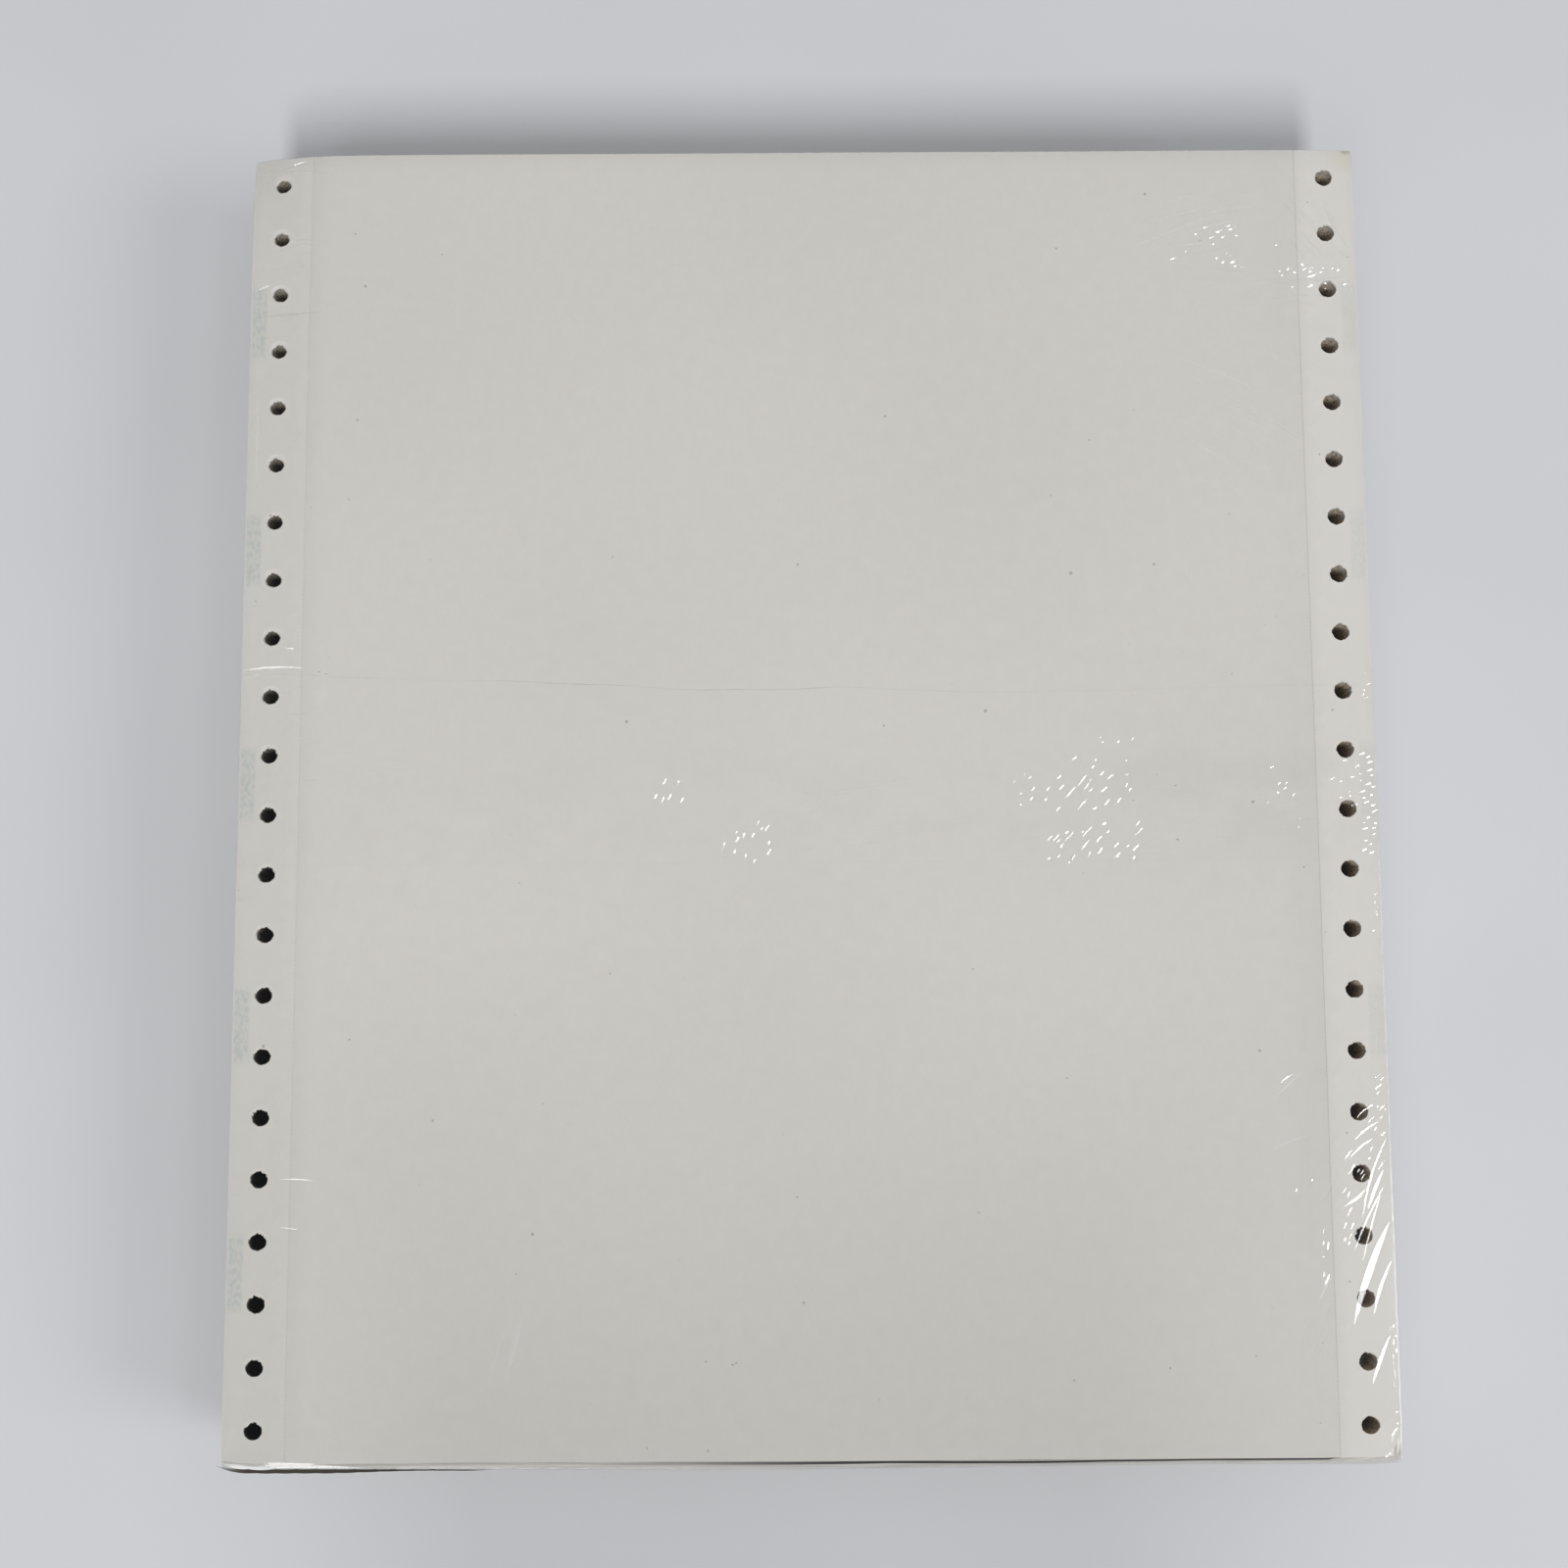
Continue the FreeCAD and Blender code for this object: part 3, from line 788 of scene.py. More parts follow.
class Creases:
    """Lays creases over the film, each a copy of one ridge drawn out, bent and lowered to fit."""

    def __init__(self, skin):
        self.skin = skin
        self.draws = np.random.default_rng(skin.film.seed)
        self.kinds = make_crease_kinds()
        self.parts = []
        self.laid = {}
        self.layers = 2     # how many creases may lie over one another

    def crowded(self, face, start, end, width, bow):
        """Whether a crease would lie over too many others. If not, its place is noted."""
        length = float(np.hypot(*(end - start)))
        along = (end - start) / length
        u = np.linspace(0, 1, 2 + round(2 * CELLS * length))
        under = set()
        for edge in (-0.5, 0.0, 0.5):
            aside = edge * width + bow * 4 * u * (1 - u)
            a = start[0] + along[0] * u * length - along[1] * aside
            b = start[1] + along[1] * u * length + along[0] * aside
            cells = zip(np.rint(CELLS * a).astype(int), np.rint(CELLS * b).astype(int))
            under.update((face, i, j) for i, j in cells)
        if any(self.laid.get(cell, 0) >= self.layers for cell in under):
            return True
        for cell in under:
            self.laid[cell] = self.laid.get(cell, 0) + 1
        return False

    def add(self, face, start, end, width, height, bow=0.0, milky=0.0, dull=0.0, flip=1, lift=0.0,
            shine=0.0):
        """One crease. Its broad flank may be pale with painted light, or shine; its steep one may be
        darkened with dirt and painted shade.
        """
        start, end = np.array(start, float), np.array(end, float)
        length = float(np.hypot(*(end - start)))
        if self.crowded(face, start, end, width, bow):
            return False
        made = copy_of(self.kinds[0 if length > LONG_CREASE else 1])
        u, v, w = points_of(made).T
        blunt = 0.8 if length > SHORT_CREASE else 0.35
        taper = 0.05 + 0.95 * np.sin(math.pi * np.clip(u, 0, 1)) ** blunt
        along = (end - start) / length
        aside = flip * v * width / 2 * taper + bow * 4 * u * (1 - u)
        a = start[0] + along[0] * u * length - along[1] * aside
        b = start[1] + along[1] * u * length + along[0] * aside
        raised = np.where(u * lift > 0, u * lift, 0) + np.where(lift < 0, (u - 1) * lift, 0)
        out = np.where(w < -0.5, -SUNK, np.maximum(w, 0) * height * taper + raised)
        place_points(made, np.stack(self.skin.point(face, a, b, out), 1))
        above = (w > -0.5) * np.minimum(taper, 1)
        # painted light on the broad flank and painted shade on the steep one, as on a crease lit from one
        # side
        give_values(made, "milky", milky * above * (v < RIDGE - 0.1))
        give_values(made, "dull", dull * above * (v > RIDGE - 0.1))
        give_values(made, "shine", shine * (w > -0.5) * (v < RIDGE + 0.1))
        self.parts.append(made)
        return True

    def need(self, lamp, x, y):
        """The slope, as x and y parts, with which a crease at a point shows a lamp to the eye."""
        sight = EYE - np.array((x, y, TOP))
        half = sight / np.linalg.norm(sight) + lamp / np.linalg.norm(lamp)
        return half[:2] / half[2] - self.skin.tilt(x, y)

    def streak(self, start, end, width, bow=0.0, lamp=SMALL_LAMP, steep=1.0, most=0.3):
        """A crease on top along a line, whose broad flank shows a lamp."""
        start, end = np.array(start, float), np.array(end, float)
        length = float(np.hypot(*(end - start)))
        along = (end - start) / length
        need = self.need(lamp, *((start + end) / 2))
        slope = float(need[1] * along[0] - need[0] * along[1])
        lift = float(np.clip(-(need @ along) * length, -most, most))
        return self.add("top", start, end, width, abs(slope) * steep * BROAD * width / 2, bow,
                        flip=-1 if slope > 0 else 1, lift=lift, shine=1.0)

    def glint(self, x, y, length, width, turn=0.0, bow=0.0, steep=1.0):
        """A short crease centred on a point, across the way to the small lamp."""
        need = self.need(SMALL_LAMP, x, y)
        angle = math.atan2(need[1], need[0]) + math.pi / 2 + math.radians(turn)
        half = np.array([math.cos(angle), math.sin(angle)]) * length / 2
        return self.streak((x - half[0], y - half[1]), (x + half[0], y + half[1]), width, bow,
                           steep=steep, most=0.1)

    def cluster(self, middle, spread, count, length, width):
        """Many short glinting creases round a point."""
        laid = 0
        for _ in range(4 * count):
            x, y = np.array(middle) + np.array(spread) * self.draws.uniform(-1, 1, 2)
            size = length * self.draws.uniform(0.45, 1.15)
            narrow = width * self.draws.uniform(0.55, 0.85)
            turn, bow = self.draws.normal(0, 2), self.draws.normal(0.0, 0.015) * size
            laid += self.glint(x, y, size, narrow, turn, bow, self.draws.uniform(0.97, 1.03))
            if laid >= GLINT_SHARE * count:
                return

    def field(self, middle, spread, angle, count, length, width, milky, dull, bow=0.5):
        """Faint creases that run about the same way, with painted light and painted shade on their
        flanks.
        """
        for _ in range(count):
            x, y = np.array(middle) + np.array(spread) * self.draws.uniform(-1, 1, 2)
            turn = math.radians(angle + self.draws.normal(0, 4))
            half = np.array([math.cos(turn), math.sin(turn)]) * length
            half = half * self.draws.uniform(0.25, 0.6)
            self.add("top", (x - half[0], y - half[1]), (x + half[0], y + half[1]),
                     width * self.draws.uniform(0.6, 1.3), FAINT_CREASE, self.draws.normal(0, bow),
                     milky * self.draws.uniform(0.4, 1.2), dull * self.draws.uniform(0.4, 1.2),
                     self.draws.choice((-1, 1)))

    def finish(self):
        """Clears the patterns away and gives the creases."""
        for kind in self.kinds:
            bpy.data.objects.remove(kind)
        return self.parts


# short glinting creases: middle x, y, half spread x, y, how many, usual length and width, all in mm
CLUSTERS = (
    (-31.0, 0.0, 5.0, 4.0, 7, 2.4, 0.32), (-13.0, -13.0, 5.0, 4.5, 15, 2.6, 0.32),
    (44.0, -2.0, 2.5, 5.0, 6, 0.8, 0.32), (55.0, -2.5, 8.0, 4.0, 16, 3.0, 0.36),
    (62.0, 0.0, 8.0, 5.5, 14, 2.4, 0.36), (55.0, -14.0, 5.0, 3.0, 14, 2.8, 0.32),
    (64.0, -13.0, 7.0, 4.0, 14, 2.6, 0.36), (66.0, 7.0, 6.0, 2.0, 4, 1.4, 0.32),
    (100.0, -1.5, 3.0, 4.5, 8, 1.8, 0.32), (104.0, -9.0, 4.0, 1.5, 4, 0.8, 0.32),
    (114.0, 0.0, 3.5, 4.0, 8, 1.5, 0.36), (118.6, 0.0, 1.6, 7.0, 16, 2.0, 0.4),
    (118.8, -10.0, 1.3, 7.0, 14, 1.8, 0.4), (119.4, -27.0, 0.8, 9.0, 7, 1.2, 0.28),
    (119.0, -66.0, 0.9, 5.0, 8, 1.8, 0.32), (118.0, -76.0, 2.0, 5.0, 14, 2.4, 0.36),
    (119.6, -119.0, 0.6, 7.0, 12, 1.6, 0.4), (119.6, -133.0, 0.5, 3.0, 6, 1.2, 0.4),
    (119.2, 18.0, 0.8, 5.0, 6, 1.2, 0.32), (89.0, 119.0, 6.0, 3.5, 12, 1.8, 0.36),
    (93.0, 113.5, 3.0, 1.0, 5, 1.8, 0.48), (111.0, 110.5, 8.0, 2.5, 18, 1.8, 0.36),
    (115.0, -80.0, 3.5, 3.5, 11, 3.0, 0.4), (113.5, -88.0, 3.0, 2.5, 8, 2.2, 0.4),
    (111.8, -95.0, 1.5, 3.5, 10, 2.2, 0.4), (106.3, -99.0, 0.8, 4.5, 4, 1.8, 0.36),
    (114.0, -4.5, 2.5, 1.5, 5, 1.2, 0.32),
)

# long glinting creases on top: start, end, width, bow
STREAKS = (
    ((119.7, -75.5), (114.2, -92.0), 0.46, -0.9), ((118.8, -82.0), (115.4, -90.0), 0.77, -0.3),
    ((118.7, -85.5), (112.2, -98.6), 0.41, -0.4), ((118.2, -86.5), (113.8, -100.8), 0.31, -0.2),
    ((119.7, -92.5), (111.5, -113.5), 1.75, -0.8), ((119.8, -100.5), (115.8, -111.0), 0.71, -0.5),
    ((118.9, -115.5), (114.8, -125.5), 0.82, -0.3), ((118.0, -117.5), (115.6, -123.0), 0.36, -0.2),
    ((115.4, -85.5), (110.4, -89.3), 0.61, 0.3), ((113.2, -79.6), (110.6, -83.5), 0.41, 0.5),
    ((117.5, -68.5), (113.5, -71.5), 0.36, -0.4), ((118.5, -72.0), (113.0, -76.0), 0.41, -0.5),
    ((117.0, -75.5), (112.0, -79.5), 0.41, -0.4), ((107.0, -102.8), (105.5, -105.6), 0.41, 0.1),
    ((106.9, -96.0), (106.2, -99.0), 0.36, 0.2), ((101.0, -85.6), (100.2, -86.4), 0.46, 0.0),
    ((104.4, -83.6), (103.6, -84.2), 0.36, 0.0), ((98.0, -64.0), (100.5, -62.3), 0.26, 0.2),
    ((94.6, 121.8), (92.6, 121.2), 0.31, 0.0), ((94.5, 114.5), (92.9, 113.5), 0.46, 0.0),
    ((82.0, 115.3), (79.6, 114.4), 0.31, 0.0), ((60.5, 1.5), (57.6, -3.0), 0.26, 0.5),
    ((-18.2, -8.6), (-18.6, -15.5), 0.23, 0.9), ((119.9, -134.0), (118.6, -137.5), 0.71, -0.6),
    ((119.4, -137.0), (116.8, -138.6), 0.51, 0.3), ((89.8, 120.6), (91.9, 121.5), 0.42, 0.0),
    ((94.2, 122.0), (94.9, 122.2), 0.34, 0.0), ((89.7, 114.7), (90.9, 115.1), 0.42, 0.0),
    ((93.0, 115.3), (93.7, 115.6), 0.34, 0.0), ((92.9, 113.5), (94.7, 114.7), 0.5, 0.0),
    ((108.1, 113.4), (109.9, 113.1), 0.42, 0.0), ((110.3, 112.7), (111.4, 112.7), 0.42, 0.0),
    ((105.3, 112.3), (106.4, 112.5), 0.34, 0.0), ((112.3, 111.4), (113.6, 111.9), 0.34, 0.0),
    ((109.7, 110.4), (112.4, 111.1), 0.38, 0.1), ((115.9, 112.0), (117.6, 112.3), 0.34, 0.0),
    ((109.6, 108.1), (111.5, 108.9), 0.38, 0.1), ((112.8, 109.0), (115.1, 109.4), 0.46, 0.0),
    ((117.3, 108.7), (119.2, 109.1), 0.5, 0.0), ((119.4, 107.9), (120.2, 108.0), 0.42, 0.0),
    ((102.8, 117.7), (103.8, 118.0), 0.34, 0.0),
)

# creases on top that show the lip lamp: start, end, width, bow
BRIGHT_LINES = (
    ((-120.0, 24.6), (-107.4, 25.0), 0.42, 0.45), ((-112.0, 29.4), (-108.8, 29.2), 0.34, 0.0),
    ((-110.0, -82.7), (-102.8, -83.0), 0.3, 0.25), ((-109.7, -92.4), (-105.5, -93.0), 0.24, 0.1),
    ((-120.0, 108.6), (-116.0, 109.9), 0.3, 0.2), ((-113.0, 137.4), (-109.0, 138.6), 0.36, 0.0),
)

# two-toned creases on top, painted light on one flank and painted shade on the other: start, end, width,
# bow, how pale one flank is and how dark the other
FOLD_LINES = (
    ((113.2, 129.0), (119.6, 116.3), 0.56, -0.6, 0.04, 0.13),
    ((108.0, 122.0), (115.8, 113.5), 0.48, -0.4, 0.04, 0.1),
    ((110.5, 118.5), (117.8, 112.3), 0.48, 0.3, 0.04, 0.072),
    ((104.5, 121.0), (110.0, 114.0), 0.48, 0.2, 0.032, 0.048),
    ((83.0, 114.6), (99.0, 118.8), 0.48, 0.3, 0.048, 0.072),
    ((79.0, 113.2), (103.0, 110.2), 0.56, 0.4, 0.04, 0.054),
    ((101.0, 112.6), (117.5, 111.6), 0.48, 0.5, 0.04, 0.1),
    ((103.0, 110.0), (119.5, 111.0), 0.48, -0.6, 0.04, 0.09),
    ((84.0, 112.3), (110.0, 108.3), 0.56, 0.9, 0.04, 0.036),
    ((96.0, 107.8), (118.0, 109.8), 0.48, 0.5, 0.04, 0.036),
    ((-120.3, 102.6), (-104.0, 103.9), 0.9, -0.2, 0.0, 0.15),
    ((-120.3, 38.2), (-117.2, 38.7), 0.32, 0.0, 0.0, 0.18),
    ((-120.6, 136.2), (-108.5, 138.2), 0.45, -0.4, 0.1, 0.2),
    ((-114.5, 136.4), (-104.0, 135.6), 0.36, 0.1, 0.06, 0.24),
    ((-119.5, 133.5), (-113.5, 136.0), 0.36, 0.2, 0.032, 0.1),
    ((-120.5, -24.6), (-116.5, -23.8), 0.32, 0.0, 0.0, 0.18),
    ((-120.0, -86.0), (-117.6, -85.7), 0.32, 0.0, 0.0, 0.15),
    ((-2.0, -3.2), (24.0, -0.4), 0.4, 0.2, 0.032, 0.072),
    ((1.5, -3.6), (13.0, -2.4), 0.32, 0.1, 0.048, 0.048),
    ((13.0, -1.0), (24.5, 0.6), 0.32, 0.1, 0.024, 0.054),
    ((18.0, 0.4), (24.0, 0.7), 0.24, 0.0, 0.0, 0.06),
    ((-32.0, -17.0), (-13.0, -18.2), 0.32, -0.3, 0.032, 0.03),
)

# pale creases on top, painted light on wrinkles and on the lip at the front corners: start, end, width,
# bow, how pale
PALE_LINES = (
    ((-120.0, 22.8), (-115.0, 24.0), 0.4, 0.2, 0.2), ((-63.0, -125.0), (-58.5, -108.0), 1.8, 0.6, 0.07),
    ((-66.5, -125.5), (-63.0, -112.0), 1.2, 0.3, 0.05), ((95.0, -78.0), (104.0, -74.6), 0.8, 0.5, 0.12),
    ((96.0, -68.0), (103.5, -61.0), 0.6, 0.3, 0.15), ((104.5, -109.0), (107.5, -103.0), 0.7, 0.3, 0.25),
    ((116.5, -121.0), (113.5, -130.5), 1.6, -0.3, 0.14), ((-118.8, 96.0), (-118.2, 60.0), 0.5, 0.0, 0.08),
    ((-120.4, -138.9), (-113.5, -139.2), 1.3, 0.0, 0.9),
    ((-117.0, -139.2), (-108.5, -139.3), 1.1, 0.0, 0.8),
    ((119.9, -135.5), (119.5, -138.6), 0.7, 0.3, 0.8), ((118.2, -138.2), (119.7, -137.0), 0.4, 0.0, 0.6),
)

# faint parallel creases, painted light on one flank and painted shade on the other: middle x, y, half
# spread x, y, angle, how many, length, width, how pale, how dark
FIELDS = (
    (88.0, 124.0, 8.0, 6.0, 14.0, 12, 22.0, 0.6, 0.056, 0.035),
    (95.0, 114.0, 12.0, 4.0, 6.0, 10, 18.0, 0.52, 0.056, 0.042),
    (100.0, 107.0, 14.0, 3.0, -4.0, 8, 24.0, 0.52, 0.04, 0.028),
    (112.0, 120.0, 5.0, 7.0, -52.0, 12, 12.0, 0.45, 0.048, 0.049),
    (92.0, 84.0, 12.0, 8.0, -26.0, 12, 20.0, 0.68, 0.048, 0.008),
    (90.0, 66.0, 8.0, 5.0, -28.0, 4, 14.0, 0.52, 0.04, 0.008),
    (88.0, -8.0, 18.0, 7.0, 8.0, 24, 10.0, 0.38, 0.024, 0.035),
    (60.0, -6.0, 16.0, 9.0, 10.0, 14, 8.0, 0.38, 0.024, 0.028),
    (-95.0, 5.0, 18.0, 5.0, 3.0, 10, 12.0, 0.45, 0.024, 0.025),
    (10.0, -9.0, 26.0, 6.0, 4.0, 14, 9.0, 0.38, 0.024, 0.025),
    (-114.0, 110.0, 5.0, 12.0, 12.0, 9, 9.0, 0.52, 0.04, 0.028),
    (-112.0, 20.0, 6.0, 6.0, 4.0, 6, 8.0, 0.45, 0.04, 0.028),
    (107.0, -100.0, 10.0, 22.0, 62.0, 14, 10.0, 0.52, 0.048, 0.006),
    (116.0, -60.0, 3.0, 12.0, 50.0, 8, 5.0, 0.38, 0.064, 0.021),
)

# specks of dirt on top: x, y, length, how dark
DIRT = (
    (-96.0, -54.0, 0.7, 0.8), (-55.5, -67.5, 0.6, 0.6), (-33.7, -136.7, 0.6, 0.6),
    (34.4, -40.0, 0.7, 0.7), (61.5, 74.0, 0.8, 0.5), (-106.5, 60.0, 0.5, 0.5), (-118.0, 39.5, 0.8, 0.5),
    (-16.2, -120.8, 1.0, 0.6), (-15.4, -120.4, 0.8, 0.6), (86.8, 118.7, 1.3, 0.28),
    (78.0, -1.5, 0.8, 0.5), (74.0, 1.0, 0.6, 0.5), (78.0, -13.0, 1.0, 0.7), (69.0, -4.6, 0.8, 0.35),
    (58.0, -20.0, 0.7, 0.35), (104.5, -19.0, 0.8, 0.7), (-104.0, 24.0, 0.9, 0.6),
    (-102.5, 23.6, 0.7, 0.6), (119.0, 115.0, 0.8, 0.6), (105.0, -117.0, 0.6, 0.5), (98.0, 33.0, 0.5, 0.4),
    (100.5, 35.0, 0.5, 0.4), (95.0, -110.0, 0.5, 0.35), (104.0, -133.0, 0.6, 0.35),
)


def make_creases(skin):
    """All the creases of the film, laid one after another."""
    work = Creases(skin)
    for start, end, width, bow in STREAKS:
        work.streak(start, end, width, bow)
    for start, end, width, bow in BRIGHT_LINES:
        work.streak(start, end, width, bow, LIP_LAMP)
    for start, end, width, bow, milky, dull in FOLD_LINES:
        work.add("top", start, end, width, LOW_CREASE, bow, milky, dull)
    for start, end, width, bow, milky in PALE_LINES:
        work.add("top", start, end, width, LOW_CREASE, bow, milky)
    edge_lines(work)
    for x, y, length, dark in DIRT:
        turn = work.draws.uniform(-0.5, 0.5)
        away = np.array([math.cos(turn), math.sin(turn)]) * length / 2
        work.add("top", (x - away[0], y - away[1]), (x + away[0], y + away[1]), 0.6 * length,
                 LOW_CREASE, dull=dark)
    work.layers = 1
    for x, y, across, along, count, length, width in CLUSTERS:
        work.cluster((x, y), (across, along), count, length, width)
    work.layers = 2
    for x, y, across, along, angle, count, length, width, milky, dull in FIELDS:
        work.field((x, y), (across, along), angle, count, length, width, milky, dull)
    for face, length in (("left", HALF_LENGTH), ("right", HALF_LENGTH), ("front", HALF_WIDTH),
                         ("back", HALF_WIDTH)):
        gather_corners(work, face, length)
    for face in ("left", "right"):
        weld_side(work, face)
    return work.finish()


def edge_lines(work):
    """Rows of creases, each overlapping the next, that make long lines of painted light and shade by the
    film's edges.
    """
    # painted highlight: the slack lip runs out to the right in a fine pale line
    y = 0.45 - work.skin.half_y
    for x in range(-86, -16, 6):
        work.add("top", (x, y), (x + 7.0, y), 0.3, LOW_CREASE, milky=0.55 * ramp(-x, 5, 70))
    # painted shadow: under the lip a dark gap shows, widest at the left
    work.layers = 5
    z = work.skin.high - 1.0
    for x in np.arange(-122.0, -76.0, 4.0):
        deep = float(0.25 + 0.6 * ramp(-x, 85, 108))
        work.add("front", (x, z), (x + 13.0, z), 1.2, deep, dull=1.4)
    work.layers = 2
    # painted highlight: the film's own edge shows as a pale line along the right
    x = 120.45
    for y in range(-135, -20, 6):
        work.add("top", (x, y), (x, y + 7.0), 0.34, LOW_CREASE,
                 milky=float(0.25 + 0.6 * ramp(-y, 50, 100)))


def side_crease(work, face, start, end, width, height, bow=0.0, milky=0.09):
    """A crease on a side of the pack, with its broad flank turned up to the light and painted pale, and
    its steep flank painted darker with shade.
    """
    flip = -1 if end[0] > start[0] else 1
    # painted light on the broad flank, painted shade on the steep one
    work.add(face, start, end, width, height, bow, milky, 0.08, flip, shine=1.0)


def gather_corners(work, face, length):
    """The film gathers at both ends of a side and is drawn up and down it."""
    draws, skin = work.draws, work.skin
    for end in (-1, 1):
        for fold in range(14):
            a = end * (length - draws.uniform(0.5, 5))
            reach = draws.uniform(8, 46) * (1.0 if face in ("left", "right") else 0.7)
            top = fold % 2 == 0
            b = skin.high - draws.uniform(1, 5) if top else skin.low + draws.uniform(1, 5)
            rise = draws.uniform(3, 20) * (-1 if top else 1)
            side_crease(work, face, (a, b), (a - end * reach, b + rise), draws.uniform(0.5, 1.4),
                        draws.uniform(0.12, 0.5), draws.normal(0, 1.2))


def weld_side(work, face):
    """A side's film is welded along its middle, and puckers run up and down from the weld."""
    draws, skin = work.draws, work.skin
    middle = (skin.low + skin.high) / 2
    a = -HALF_LENGTH + 3
    while a < HALF_LENGTH - 9:
        b = middle + 0.5 * math.sin(a / 21.0)
        next_b = middle + 0.5 * math.sin((a + 8) / 21.0)
        # the weld shows a pale line of painted light
        side_crease(work, face, (a, b), (a + 8, next_b), 1.3, 0.42, milky=0.10)
        for way in (-1, 1):
            if draws.uniform(0, 1) < 0.75:
                reach = draws.uniform(2.5, 13)
                foot = a + draws.uniform(0, 5)
                tip = (foot + draws.normal(0, 0.45) * reach, b + way * reach)
                side_crease(work, face, (foot, b + way * 0.8), tip, draws.uniform(0.4, 1.0),
                            draws.uniform(0.08, 0.3), draws.normal(0, 0.4))
        a += 5.0


def make_film(settings, paper):
    """The skin and its creases, in one piece."""
    skin = Skin(settings, paper)
    film = joined([make_skin(skin)] + make_creases(skin))
    film.name = "film_wrap"
    # light passes through the clear film, straight and scattered
    film.visible_shadow = False
    film.visible_diffuse = False
    return film


# ---------------------------------------------------------------- finishes

class Value:
    """A number that varies over a surface. Sums on it add Math nodes."""

    def __init__(self, finish, socket):
        self.finish = finish
        self.socket = socket

    def sum(self, operation, *others):
        """A Math node of this kind, with these as its inputs."""
        inputs = dict(enumerate(others))
        return self.finish.node("ShaderNodeMath", {"operation": operation}, inputs)

    def output(self, name):
        """Another output of the same node."""
        return Value(self.finish, self.socket.node.outputs[name])

    def __add__(self, other):
        return self.sum("ADD", self, other)

    def __radd__(self, other):
        return self.sum("ADD", other, self)

    def __sub__(self, other):
        return self.sum("SUBTRACT", self, other)

    def __rsub__(self, other):
        return self.sum("SUBTRACT", other, self)

    def __mul__(self, other):
        return self.sum("MULTIPLY", self, other)

    def __rmul__(self, other):
        return self.sum("MULTIPLY", other, self)

    def __truediv__(self, other):
        return self.sum("DIVIDE", self, other)

    def __pow__(self, other):
        return self.sum("POWER", self, other)

    def __abs__(self):
        return self.sum("ABSOLUTE", self)


class Finish:
    """The nodes of a material or of the world."""

    def __init__(self, owner):
        self.owner = owner
        owner.use_nodes = True
        self.tree = owner.node_tree
        self.tree.nodes.clear()

    def node(self, kind, settings=None, inputs=None, output=0):
        """Adds a node, sets it up, then fills its sockets with values or links."""
        made = self.tree.nodes.new(kind)
        for name, value in (settings or {}).items():
            setattr(made, name, value)
        for name, value in (inputs or {}).items():
            if isinstance(value, Value):
                self.tree.links.new(value.socket, made.inputs[name])
            else:
                made.inputs[name].default_value = value
        if not len(made.outputs):
            return None
        return Value(self, made.outputs[output])

    def place(self):
        """The place on the piece, in mm, as three values."""
        where = self.node("ShaderNodeTexCoord", output="Object")
        self.where = self.node("ShaderNodeVectorMath", {"operation": "SCALE"},
                               {0: where, "Scale": 1 / MM})
        return [self.node("ShaderNodeSeparateXYZ", None, {0: self.where}, axis) for axis in range(3)]

    def stored(self, name):
        """A number stored at the points of the mesh."""
        return self.node("ShaderNodeAttribute", {"attribute_name": name}, output="Fac")

    def stretch(self, x, y, z, shift=0.0):
        """The place with each direction drawn out by its own amount."""
        return self.node("ShaderNodeVectorMath", {"operation": "MULTIPLY_ADD"},
                         {0: self.where, 1: (1 / x, 1 / y, 1 / z), 2: (shift, shift, shift)})

    def noise(self, size, detail=2.0, rough=0.5, vector=None):
        """Noise from 0 to 1 whose lumps are about this many mm."""
        return self.node("ShaderNodeTexNoise", None, {
            "Vector": vector or self.where, "Scale": 1 / size, "Detail": detail, "Roughness": rough})

    def smooth(self, value, low, high):
        """0 at low, 1 at high, and a smooth curve between."""
        return self.node("ShaderNodeMapRange", {"interpolation_type": "SMOOTHSTEP"},
                         {"Value": value, "From Min": low, "From Max": high})

    def band(self, value, middle, half, soft):
        """1 near a middle value, 0 away from it."""
        return 1 - self.smooth(abs(value - middle), half, half + soft)

    def spot(self, x, y, middle_x, middle_y, reach_x, reach_y):
        """A soft-edged oval patch."""
        far = ((x - middle_x) / reach_x) ** 2.0 + ((y - middle_y) / reach_y) ** 2.0
        return 1 - self.smooth(far, 0.25, 1.25)

    def mix(self, part, first, second):
        """From the first colour to the second."""
        return self.node("ShaderNodeMix", {"data_type": "RGBA"}, {0: part, 6: first, 7: second}, 2)

    def matt(self, colour, roughness, specular, **others):
        """Paper or paint. Others are further sockets of the same shader."""
        return self.node("ShaderNodeBsdfPrincipled", None, {
            "Base Color": colour, "Roughness": roughness, "Specular IOR Level": specular, **others})

    def diffuse(self, colour):
        return self.node("ShaderNodeBsdfDiffuse", None, {"Color": colour})

    def blend(self, part, first, second):
        """From the first shader to the second."""
        return self.node("ShaderNodeMixShader", None, {0: part, 1: first, 2: second})

    def show(self, shader, kind="ShaderNodeOutputMaterial"):
        self.node(kind, None, {"Surface": shader})
        return self.owner


def shade(colour, *factors):
    """A colour made lighter or darker, by one factor or by one for each of its parts."""
    return tuple(np.multiply(colour, factors)) + (1.0,)


